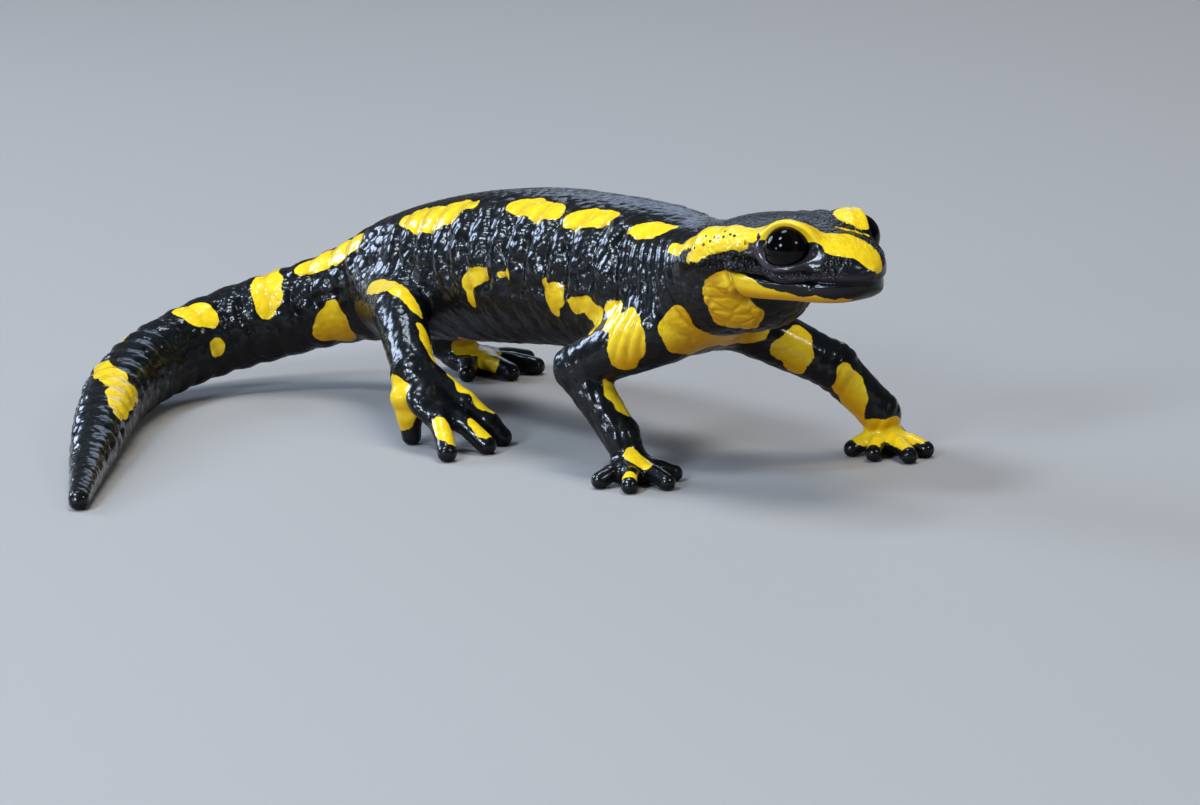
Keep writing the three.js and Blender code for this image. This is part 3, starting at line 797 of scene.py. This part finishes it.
yellow = np.full(len(hide), NO_YELLOW)
left_gap = inside_spots(on_face(LEFT_GAP))
for patch in HEAD_PATCHES:
    yellow = smooth_max(yellow, inside_spots(on_face(patch)), PATCH_SOFT)
    yellow = smooth_max(yellow, np.minimum(inside_spots(on_face(patch, -1)), -left_gap), PATCH_SOFT)
for patch in (SNOUT_PATCH, SNOUT_LINE, LEFT_LID_PATCH):
    yellow = smooth_max(yellow, inside_spots(on_face(patch)), PATCH_SOFT)
for side in (1, -1):
    for gap in (BAND_STRIPE, LID_NOTCH):
        yellow = np.minimum(yellow, -inside_spots(on_face(gap, side)))
for patch in [[on_body(spot) for spot in patch] for patch in BODY_PATCHES] + LEG_PATCHES:
    yellow = smooth_max(yellow, inside_spots(patch), PATCH_SOFT)
for leg in LEGS.values():
    for x, y in leg["digits"] + [toe[-1][:2] for toe in leg.get("toes", ())]:
        yellow = np.minimum(yellow, lengths(hide - (x, y, 0.6)) - CLAW_DARK)
lid_edge = LID_DARK - (LID_DARK + LID_YELLOW) * ease(below, 0.5, 1.4)
yellow = np.where(by_lid, np.minimum(yellow, outside_rim - lid_edge), yellow)
pore_near = np.min([lengths(mirrored - pore) for pore in PORES], axis=0)
pore_dark = np.where(pore_near < 1, (PORE_SIZE - pore_near) / PORE_EDGE, -1)
yellow = np.maximum(yellow, -2)
yellow += EDGE_WANDER * clouds(hide, 1.4, 61) + 0.4 * EDGE_WANDER * clouds(hide, 0.6, 62)

# ---- Ribs, folds and creases -------------------------------------------------
# The hide bulges between the ribs, is gathered in upright folds on the neck, in rings on the tail
# and in creases at the joints and the lids, and wrinkles like soft leather on cheek and throat.

RIB_FIRST, RIB_LAST, RIB_SPACING, RIB_DEPTH = 31.0, 78.0, 3.9, 0.8
RIB_LEAN = 0.02             # the ribs' upper ends lie further forward, mm for each degree round
NECK_FROM, NECK_TO, NECK_SPACING, NECK_DEPTH = 22.5, 31.5, 1.5, 0.26
RING_FROM, RING_TO, RING_SPACING, RING_DEPTH = 84.0, 168.0, 3.4, 0.24
FOLD_MIDDLE = 0.65          # the folds' tops stand out and their grooves sink from here
LUMP_SIZE, LUMP_HEIGHT = 1.7, 0.6
BACK_LUMP_SIZE, BACK_LUMP_HEIGHT = 0.9, 0.12
FACE_LUMP_SIZE, FACE_LUMP_HEIGHT = 0.8, 0.07
LIMB_LUMP_SIZE, LIMB_LUMP_HEIGHT = 1.2, 0.13
JOINT_FOLD_SPACING, JOINT_FOLD_DEPTH = 1.3, 0.12
WRINKLE_SIZE, WRINKLE_WIDTH, WRINKLE_DEPTH = 1.9, 0.16, 0.15
ARM_FOLDS_AT, ARM_FOLDS_REACH, ARM_FOLD_SPACING, ARM_FOLD_DEPTH = (0.9, -9.3, 15.6), 3.0, 1.25, 0.30
# Creases on the head: how deep, or a ridge where less than 0, how wide, and their places, as back,
# right, up.
HEAD_CREASES = [
    (-0.45, 0.75, [(5, 5.3, -0.4), (7.4, 6.4, -0.5), (10.4, 7.2, -0.3), (13, 7.8, 0.2)]),
    (-0.30, 0.80, [(13, 7.8, 0.2), (15.6, 8.3, 0.3), (18.6, 8.3, 0), (21, 8, -0.6)]),
    (0.30, 0.45, [(12.5, 7.4, 1), (15, 8.3, 0.3), (18, 8.2, -0.4), (20.5, 7.4, -1.2)]),
    (0.22, 0.30, [(10.6, 6.9, 2), (12.4, 7.4, 1.9), (14.5, 8.3, 1.2)]),
    (0.50, 0.32, [(14, 7.5, -0.4), (13.5, 7.6, -1.5), (13.3, 7.3, -2.6), (13.5, 6, -3.4),
                  (13.8, 4.7, -4.2)]),
    (0.55, 0.50, [(17.8, 8.2, -1.6), (18.6, 7.8, -4.2), (18.8, 6.5, -6.8), (18.4, 4, -8.6),
                  (18, 0, -9.4)]),
    (0.45, 0.50, [(13, 5.6, -4.2), (10, 4.9, -3.9), (7, 3.8, -3.6), (5.4, 2, -3.4),
                  (5, 0, -3.4)]),
    (0.10, 0.22, [(9.4, 6, 0.2), (6.8, 5.4, -0.1), (4.4, 4.8, 0.1)]),
]
# Round the lids: over or under the eye, how deep, how far out from the rim, how wide.
LID_CREASES = [
    ("under", 0.22, 0.68, 0.16), ("under", 0.14, 1.35, 0.18), ("under", -0.12, 0.28, 0.24),
    ("over", 0.06, 0.8, 0.25),
]
NOSTRIL_AT, NOSTRIL_SIZE, NOSTRIL_DEPTH = (1.5, 2.9, 1.1), 0.32, 0.25


def grains(p, size, seed):
    """Distances, in sizes, to the nearest and the second nearest of many scattered points."""
    at = p / size
    home = np.floor(at).astype(np.int64)
    first, second = np.full(len(p), 9.0), np.full(len(p), 9.0)
    for step in cells_of((-1, 0, 1)):
        cell = home + step
        spot = cell + np.stack([chance(cell, seed + k) for k in range(3)], 1)
        far = lengths(spot - at)
        second = np.minimum(second, np.maximum(first, far))
        first = np.minimum(first, far)
    return first, second


def near_line(p, places):
    """Distance to a line through places."""
    places = np.array(places, float)
    return np.min([rod(p, a, b, 0, 0) for a, b in zip(places, places[1:])], axis=0)


def gathered(place, spacing):
    """Folds side by side: 1 on their tops and 0 in the grooves between."""
    return np.sqrt(np.cos(np.pi * place / spacing) ** 2 + 0.02)


def hump(distance, width):
    return np.exp(-((distance / width) ** 2))


def stretch(value, start, full, last, end, fall=1.0):
    """Eases in from start to full, and out again from last to end."""
    return ease(value, start, full) * (1 - fall * ease(value, last, end))


def outward(p, triangles):
    a, b, c = (p[triangles[:, k]] for k in range(3))
    total = added_up(triangles.ravel(), np.repeat(np.cross(b - a, c - a), 3, axis=0), len(p))
    return total / np.maximum(lengths(total), 1e-12)[:, None]


wander = 0.7 * clouds(hide, 6.0, 3)
ribs = gathered(back + wander + RIB_LEAN * (round_side - 60) - RIB_FIRST, RIB_SPACING) - FOLD_MIDDLE
ribs *= stretch(back, RIB_FIRST - 2, RIB_FIRST + 2, RIB_LAST - 2, RIB_LAST + 2)
ribs *= stretch(round_side, 22, 45, 88, 118, 0.8)
neck = gathered(back + 0.5 * wander + 0.01 * (round_side - 60) - NECK_FROM, NECK_SPACING) - FOLD_MIDDLE
neck *= stretch(back, NECK_FROM, NECK_FROM + 2, NECK_TO - 2, NECK_TO)
neck *= stretch(round_side, 35, 60, 120, 150)
rings = gathered(back + 0.5 * wander - RING_FROM, RING_SPACING) - FOLD_MIDDLE
rings *= stretch(back, RING_FROM - 3, RING_FROM + 3, RING_TO - 20, RING_TO)
lumps, _ = grains(hide, LUMP_SIZE, 11)
back_lumps, _ = grains(hide, BACK_LUMP_SIZE, 23)
black_hide = 1 - 0.75 * ease(yellow, -0.3, 0.5)
flank = stretch(round_side, 12, 40, 92, 122, 0.8) * stretch(back, 22, 34, 150, 172)
raised = on_trunk * (
    RIB_DEPTH * ribs * (0.5 + 0.5 * black_hide) + NECK_DEPTH * neck + RING_DEPTH * rings
    + flank * black_hide * LUMP_HEIGHT * (0.35 - lumps**2)
    + (1 - flank) * ease(back, 22, 30) * BACK_LUMP_HEIGHT * (0.35 - back_lumps**2)
)

creases = sum(deep * hump(near_line(mirrored, places), wide) for deep, wide, places in HEAD_CREASES)
over_lid = by_lid * ease(below, -0.4, 0.4)
under_lid = by_lid * (1 - ease(below, -0.4, 0.4))
lid_side = {"over": over_lid, "under": under_lid}
for lid, deep, out, wide in LID_CREASES:
    creases += lid_side[lid] * deep * hump(outside_rim - out, wide)
creases += NOSTRIL_DEPTH * hump(lengths(mirrored - NOSTRIL_AT), NOSTRIL_SIZE)
creases += 0.10 * hump(pore_near, 0.14)
leather = mirrored * (1, 1, 1.7) + 0.5 * clouds(hide, 2.0, 5)[:, None]
wrinkle_one, wrinkle_two = grains(leather, WRINKLE_SIZE, 31)
soft_cheek = stretch(face_back, 11.5, 13.5, 19, 21, 0.7) * (1 - ease(face_up, -3.0, -1.2))
soft_cheek *= (1 - ease(face_back, 23, 25)) * (1 - ease(face_side, 8, 9.5))
soft_cheek += 0.5 * (1 - ease(face_up, -5.0, -3.8)) * (face_back < 12)
raised -= creases + WRINKLE_DEPTH * soft_cheek * hump(wrinkle_two - wrinkle_one, WRINKLE_WIDTH)
grainy = on_head * ease(face_back, 0.7, 2.0) * ease(face_up, -0.9, -0.1)
grainy *= 1 - ease(np.exp(-outside_rim), 0.6, 0.8) * by_lid
face_lumps, _ = grains(hide, FACE_LUMP_SIZE, 41)
raised += FACE_LUMP_HEIGHT * grainy * black_hide * (0.3 - face_lumps**2)

for leg in LEGS.values():
    upper, middle_joint, lower = np.array(leg["joints"])[:, :3]
    near_leg = lengths(hide - middle_joint) < 16
    spot = hide[near_leg]
    on_leg = (1 - ease(np.abs(chain(spot, leg["joints"])), 0.4, 1.5)) * (1 - on_trunk[near_leg])
    down_upper = (spot - middle_joint) @ unit(upper - middle_joint)
    down_lower = (spot - lower) @ unit(lower - middle_joint)
    folds = gathered(down_upper + 0.4 * wander[near_leg], JOINT_FOLD_SPACING) - 0.6
    folds = JOINT_FOLD_DEPTH * folds * (hump(down_upper, 2.2) + hump(down_lower, 1.6))
    limb_lumps, _ = grains(spot, LIMB_LUMP_SIZE, 51)
    raised[near_leg] += on_leg * (folds + LIMB_LUMP_HEIGHT * black_hide[near_leg] * (0.3 - limb_lumps**2))

from_folds = hide - ARM_FOLDS_AT
folds = gathered(from_folds[:, 0] - 0.3 * from_folds[:, 2] + 0.3 * wander, ARM_FOLD_SPACING) - FOLD_MIDDLE
raised += ARM_FOLD_DEPTH * np.exp(-((lengths(from_folds) / ARM_FOLDS_REACH) ** 4)) * folds

normal = outward(hide, faces)
hide = hide + raised[:, None] * normal
hide[:, 2] = np.maximum(hide[:, 2], 0)
normal = outward(hide, faces)

# ---- Wet hide ----------------------------------------------------------------
# Blue-black hide under a thin coat of slime, with yellow patches. Painted shade turns the yellow
# orange where it faces down and ochre in the hollows, and blackens the mouth's parting. The lids and
# lips are bare dark purple skin. Fine grains in the hide break up its shine.

BLUE_BLACK, GREEN_BLACK = (0.0020, 0.0022, 0.0030), (0.0036, 0.0064, 0.0072)
# The second colour here is painted shade for the mouth's parting; the first is the belly's own colour.
BELLY_BLACK, PARTING_SHADE = (0.0095, 0.0065, 0.0062), (0.001, 0.001, 0.001)
LILAC = (0.044, 0.032, 0.043)
DEEP_LEMON, LEMON = (0.88, 0.57, 0.009), (0.95, 0.69, 0.018)
# The last two are painted shade: orange for yellow that faces down, ochre for yellow in the hollows.
SHADE_ORANGE, HOLLOW_SHADE = (0.60, 0.28, 0.002), (0.34, 0.16, 0.003)
LARGE_GRAIN, FACE_GRAIN, FINE_GRAIN = 0.95, 2.4, 5.0    # grains to a millimetre
# Down the mouth's parting, as back, right, up.
PARTING = [
    (0.2, 0.3, -1.1), (0.5, 1.6, -1.1), (1.8, 3.1, -1.05), (4.8, 4.5, -0.95), (7.9, 5.8, -0.95),
    (10.6, 6.8, -0.9), (13.1, 7.3, -0.5),
]
PARTING_WIDE = 0.16

# Facing down: the belly's own browner black, painted shade on the yellow, and a thinner coat.
downward = ease(-normal[:, 2], -0.35, 0.75)
lilac = under_lid * hump(outside_rim - 0.1, 0.2) * (0.3 + 0.7 * ease(face_back, 5.5, 8.5))
lip = on_head * hump(face_up + 0.35, 0.5) * (1 - ease(face_back, 10.5, 13.5))
lilac = np.maximum(lilac, 0.4 * lip)
# Painted shade along the mouth's parting.
parting_shade = on_head * hump(near_line(mirrored, PARTING), PARTING_WIDE)
grain_share = 0.5 * on_trunk + (1 - on_trunk) * (0.4 * (1 - on_head) + (2.1 * grainy + 0.12) * on_head)
grain_share *= 1 - 0.8 * ease(yellow, -0.2, 0.3) * on_head
grain_share *= 1 - 0.65 * (1 - ease(face_up, -5.0, -3.6)) * (face_back < 23)
# Painted shade in the hide's hollows, between folds, creases and lumps.
hollow = np.clip(-raised / 0.35, 0, 1)

skin_mesh = bpy.data.meshes.new("salamander_skin")
skin_mesh.vertices.add(len(hide))
skin_mesh.vertices.foreach_set("co", ((hide + TO_ORIGIN) * 0.001).astype(np.float32).ravel())
skin_mesh.loops.add(faces.size)
skin_mesh.loops.foreach_set("vertex_index", faces.astype(np.int32).ravel())
skin_mesh.polygons.add(len(faces))
skin_mesh.polygons.foreach_set("loop_start", np.arange(0, faces.size, 3, dtype=np.int32))
skin_mesh.update(calc_edges=True)
skin_mesh.shade_smooth()


def added(name, data):
    """A new object in the scene."""
    item = bpy.data.objects.new(name, data)
    bpy.context.scene.collection.objects.link(item)
    return item


def paint_on(mesh, name, values):
    layer = mesh.attributes.new(name, "FLOAT", "POINT")
    layer.data.foreach_set("value", values.astype(np.float32))


for name, values in (
    ("yellow", yellow), ("grainy", grainy), ("pores", pore_dark), ("downward", downward), ("lilac", lilac),
    ("parting_shade", parting_shade), ("grain_share", grain_share), ("hollow", hollow),
):
    paint_on(skin_mesh, name, values)
skin = added("salamander_skin", skin_mesh)


class Finish:
    """A material's nodes, joined up in the order they are asked for."""

    def __init__(self, name):
        self.material = bpy.data.materials.new(name)
        self.material.use_nodes = True
        self.tree = self.material.node_tree

    def fill(self, node, inputs):
        """Sets or joins a node's sockets, each asked for by its name, or by its number after an i."""
        for key, value in inputs.items():
            socket = node.inputs[int(key[1:]) if key[1:].isdigit() else key.replace("_", " ")]
            if isinstance(value, bpy.types.NodeSocket):
                self.tree.links.new(value, socket)
            else:
                socket.default_value = (*value, 1) if socket.type == "RGBA" else value

    def surface(self, **inputs):
        self.fill(self.tree.nodes["Principled BSDF"], inputs)

    def put(self, kind, output, settings=(), **inputs):
        node = self.tree.nodes.new("ShaderNode" + kind)
        for key, value in dict(settings).items():
            setattr(node, key, value)
        self.fill(node, inputs)
        return node.outputs[output]

    def painted(self, name):
        return self.put("Attribute", "Fac", {"attribute_name": name})

    def sums(self, operation, a, b=0.0, c=0.0, clamp=False):
        return self.put("Math", 0, {"operation": operation, "use_clamp": clamp}, i0=a, i1=b, i2=c)

    def between(self, value, low, high, to_low=0.0, to_high=1.0, soft=False):
        settings = {"interpolation_type": "SMOOTHSTEP" if soft else "LINEAR"}
        return self.put("MapRange", 0, settings, i0=value, i1=low, i2=high, i3=to_low, i4=to_high)

    def blend(self, share, a, b):
        return self.put("Mix", 2, {"data_type": "RGBA"}, i0=share, i6=a, i7=b)

    def in_millimetres(self):
        return self.put("Mapping", 0, Vector=self.put("TexCoord", "Object"), Scale=(1000, 1000, 1000))

    def noise(self, place, scale, detail=2.0):
        return self.put("TexNoise", 0, Vector=place, Scale=scale, Detail=detail)

    def cells(self, place, scale, smooth=0.5):
        settings = {"feature": "SMOOTH_F1"}
        return self.put("TexVoronoi", 0, settings, Vector=place, Scale=scale, Smoothness=smooth)


wet = Finish("wet_hide")
place = wet.in_millimetres()
edge = wet.sums("ADD", wet.painted("yellow"), wet.sums("MULTIPLY_ADD", wet.noise(place, 2.2, 3), 0.26, -0.13))
is_yellow = wet.between(edge, -0.05, 0.06, soft=True)
is_yellow = wet.sums("SUBTRACT", is_yellow, wet.between(wet.painted("pores"), 0, 1), clamp=True)
under = wet.painted("downward")
black = wet.blend(wet.between(wet.noise(place, 0.35, 3), 0.35, 0.7), BLUE_BLACK, GREEN_BLACK)
black = wet.blend(under, black, BELLY_BLACK)
black = wet.blend(wet.painted("lilac"), black, LILAC)
# Painted shade: the mouth's parting is made blacker.
black = wet.blend(wet.painted("parting_shade"), black, PARTING_SHADE)
lemon = wet.blend(wet.between(wet.noise(place, 1.6, 3), 0.35, 0.7), DEEP_LEMON, LEMON)
# Painted shade: yellow that faces down is darkened to orange.
lemon = wet.blend(wet.between(under, 0.12, 0.9), lemon, SHADE_ORANGE)
# Painted shade: yellow in the hollows is darkened to ochre.
lemon = wet.blend(wet.sums("MULTIPLY", wet.painted("hollow"), 0.6), lemon, HOLLOW_SHADE)
large, small = wet.cells(place, LARGE_GRAIN, 0.2), wet.cells(place, FACE_GRAIN, 0.2)
grains_apart = wet.put("Mix", 0, i0=wet.painted("grainy"), i2=large, i3=small)
domes = wet.sums("MULTIPLY", wet.sums("MULTIPLY", grains_apart, grains_apart), -1.6)
how_grainy = wet.sums("MULTIPLY", wet.painted("grain_share"), 0.45)
grained = wet.put("Bump", 0, Strength=how_grainy, Distance=0.00032, Height=domes)
fine = wet.cells(place, FINE_GRAIN)
grained = wet.put("Bump", 0, Strength=0.2, Distance=0.00004, Height=fine, Normal=grained)
wet.surface(
    Base_Color=wet.blend(is_yellow, black, lemon),
    Roughness=wet.between(wet.noise(place, 3.0, 3), 0.3, 0.7, 0.30, 0.46),
    Specular_IOR_Level=0.12,
    Coat_Weight=wet.between(under, 0.05, 0.6, 1.0, 0.1),
    Coat_Roughness=0.15,
    Coat_IOR=1.4,
    Normal=grained,
    Coat_Normal=grained,
)
skin_mesh.materials.append(wet.material)
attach(skin, "root")
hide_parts(*[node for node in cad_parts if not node.endswith("_eye")])

# ---- Eyes --------------------------------------------------------------------
# Two near-black balls deep in the lids, with a clear bulge over a dark brown iris round a wide
# pupil, always wet.

CLEAR_BULGE = 0.12          # how far the clear front stands out over the ball
PUPIL = math.radians(34)    # half angle of the pupil, and of the iris round it
IRIS = math.radians(52)
BULGE_REACH = math.radians(38)
PUPIL_BLACK = (0.0012, 0.0012, 0.0014)
IRIS_DARK, IRIS_BROWN = (0.002, 0.0012, 0.0008), (0.008, 0.0045, 0.002)
RINGS, SPOKES = 44, 72      # the net of each ball

gloss = Finish("eye_black")
place = gloss.in_millimetres()
off_axis = gloss.painted("turned")
iris = gloss.blend(gloss.between(gloss.noise(place, 4.0, 4), 0.35, 0.7), IRIS_DARK, IRIS_BROWN)
inner = gloss.between(off_axis, PUPIL - 0.05, PUPIL + 0.03, soft=True)
outer = gloss.between(off_axis, IRIS - 0.12, IRIS, 1.0, 0.0, soft=True)
gloss.surface(
    Base_Color=gloss.blend(gloss.sums("MULTIPLY", inner, outer), PUPIL_BLACK, iris),
    Roughness=gloss.between(gloss.noise(place, 2.0), 0.3, 0.7, 0.03, 0.07),
    Specular_IOR_Level=0.05,
    Coat_Weight=0.2,
    Coat_Roughness=0.02,
)

for side, name in ((1, "right_eye"), (-1, "left_eye")):
    facing = eye_facing * (1, side, 1)
    first = unit(np.cross(facing, (0, 0, 1)))
    second = np.cross(facing, first)
    turned = np.linspace(0, math.pi, RINGS + 1)[1:-1]
    radius = EYE_RADIUS + CLEAR_BULGE * hump(turned, BULGE_REACH)
    spin = np.arange(SPOKES) * 2 * math.pi / SPOKES
    circle = np.cos(spin)[:, None] * first + np.sin(spin)[:, None] * second
    ahead, around = radius * np.cos(turned), radius * np.sin(turned)
    wall = ahead[:, None, None] * facing + around[:, None, None] * circle
    front, rear = (EYE_RADIUS + CLEAR_BULGE) * facing, -EYE_RADIUS * facing
    ball = np.vstack([front, *wall, rear]) + np.array(EYE_AT) * (1, side, 1)
    ball = from_head(ball) + TO_ORIGIN
    grid = 1 + np.arange((RINGS - 1) * SPOKES).reshape(RINGS - 1, SPOKES)
    after = np.roll(grid, -1, 1)
    sides = [(0, a, b) for a, b in zip(grid[0], after[0])]
    sides += [tuple(q) for q in np.stack([grid[:-1], grid[1:], after[1:], after[:-1]], -1).reshape(-1, 4)]
    sides += [(b, a, len(ball) - 1) for a, b in zip(grid[-1], after[-1])]
    sides = [tuple(int(i) for i in q[::side * -1]) for q in sides]
    eye_mesh = bpy.data.meshes.new(name + "_ball")
    eye_mesh.from_pydata((ball * 0.001).tolist(), [], sides)
    eye_mesh.shade_smooth()
    paint_on(eye_mesh, "turned", np.r_[0, np.repeat(turned, SPOKES), math.pi])
    eye_mesh.materials.append(gloss.material)
    eyeball = added(name + "_ball", eye_mesh)
    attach(eyeball, "root")
    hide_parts(name)

# ---- Floor -------------------------------------------------------------------
# A plain pale floor, wide and matt, that the model stands on. It is a backdrop and no part of
# the animal.

bpy.ops.mesh.primitive_plane_add(size=8)
floor = bpy.context.object
floor.name = "floor"
pale = Finish("pale_floor")
pale.surface(Base_Color=(0.36, 0.35, 0.34), Roughness=0.7)
floor.data.materials.append(pale.material)

# ---- Light -------------------------------------------------------------------
# A wide soft sun from above, kept out of the shine, and round bluish lamps on all sides, which
# the wet hide and the eyes show as glints.

world = bpy.data.worlds.new("soft_light")
world.use_nodes = True
daylight = world.node_tree.nodes["Background"].inputs
daylight["Color"].default_value, daylight["Strength"].default_value = (0.85, 0.9, 1, 1), 0.07
bpy.context.scene.world = world
bpy.context.scene.view_settings.view_transform = "Standard"


def hang(name, kind, place, aim, power, tint):
    lamp = added(name, bpy.data.lights.new(name, kind))
    lamp.data.energy, lamp.data.color = power, tint
    lamp.visible_camera = False
    lamp.location = place
    lamp.rotation_euler = (Vector(aim) - Vector(place)).to_track_quat("-Z", "Y").to_euler()
    return lamp


sun = hang("overhead", "SUN", (0.1, 0.05, 0.7), (0, 0, 0.01), 1.3, (1, 0.95, 0.86))
sun.data.angle = math.radians(24)
sun.visible_glossy = False
for name, place, aim, size, power, tint in (
    ("key", (-0.03, -0.35, 0.62), (0, 0, 0.02), 0.16, 2.2, (0.72, 0.84, 1)),
    ("behind_tail", (-0.62, -0.22, 0.32), (-0.01, 0, 0.015), 0.3, 3.0, (0.6, 0.74, 1)),
    ("sky", (-0.2, 0.05, 0.7), (0, 0, 0.02), 0.2, 1.3, (0.72, 0.84, 1)),
    ("right_side", (0.22, -0.62, 0.36), (0.01, 0, 0.02), 0.18, 3.0, (0.7, 0.82, 1)),
    ("low_side", (-0.03, -0.6, 0.13), (0.03, 0, 0.02), 0.1, 0.5, (0.72, 0.84, 1)),
    ("far_side", (-0.55, 0.5, 0.3), (0, 0, 0.02), 0.36, 0.3, (0.6, 0.74, 1)),
    ("front", (0.62, 0.12, 0.45), (0, 0, 0.02), 0.12, 0.8, (0.82, 0.9, 1)),
):
    lamp = hang(name, "AREA", place, aim, power, tint)
    lamp.data.shape, lamp.data.size = "DISK", size

# ---- Camera ------------------------------------------------------------------
# A long lens close to the ground, in front of the animal's right shoulder. It looks a little
# down and leans a little to one side.

CAMERA_AT = Vector((0.3815, -0.2533, 0.103))
LOOK_ROUND = math.radians(54)
LOOK_DOWN = math.radians(12)
LEAN = math.radians(2)
LENS_ANGLE = math.radians(16)
FILM = 36

level = Vector((math.cos(LOOK_ROUND), math.sin(LOOK_ROUND), 0))
away = Vector((-math.sin(LOOK_ROUND), math.cos(LOOK_ROUND), 0))
forward = math.cos(LOOK_DOWN) * away - math.sin(LOOK_DOWN) * Vector((0, 0, 1))
rise = math.sin(LOOK_DOWN) * away + math.cos(LOOK_DOWN) * Vector((0, 0, 1))
camera_right = math.cos(LEAN) * level - math.sin(LEAN) * rise
camera_up = math.sin(LEAN) * level + math.cos(LEAN) * rise
camera = added("camera", bpy.data.cameras.new("camera"))
camera.data.sensor_width = FILM
camera.data.lens = FILM / 2 / math.tan(LENS_ANGLE / 2)
camera.data.clip_start, camera.data.clip_end = 0.01, 20
turned = Matrix((camera_right, camera_up, -forward)).transposed().to_4x4()
camera.matrix_world = Matrix.Translation(CAMERA_AT) @ turned
bpy.context.scene.camera = camera
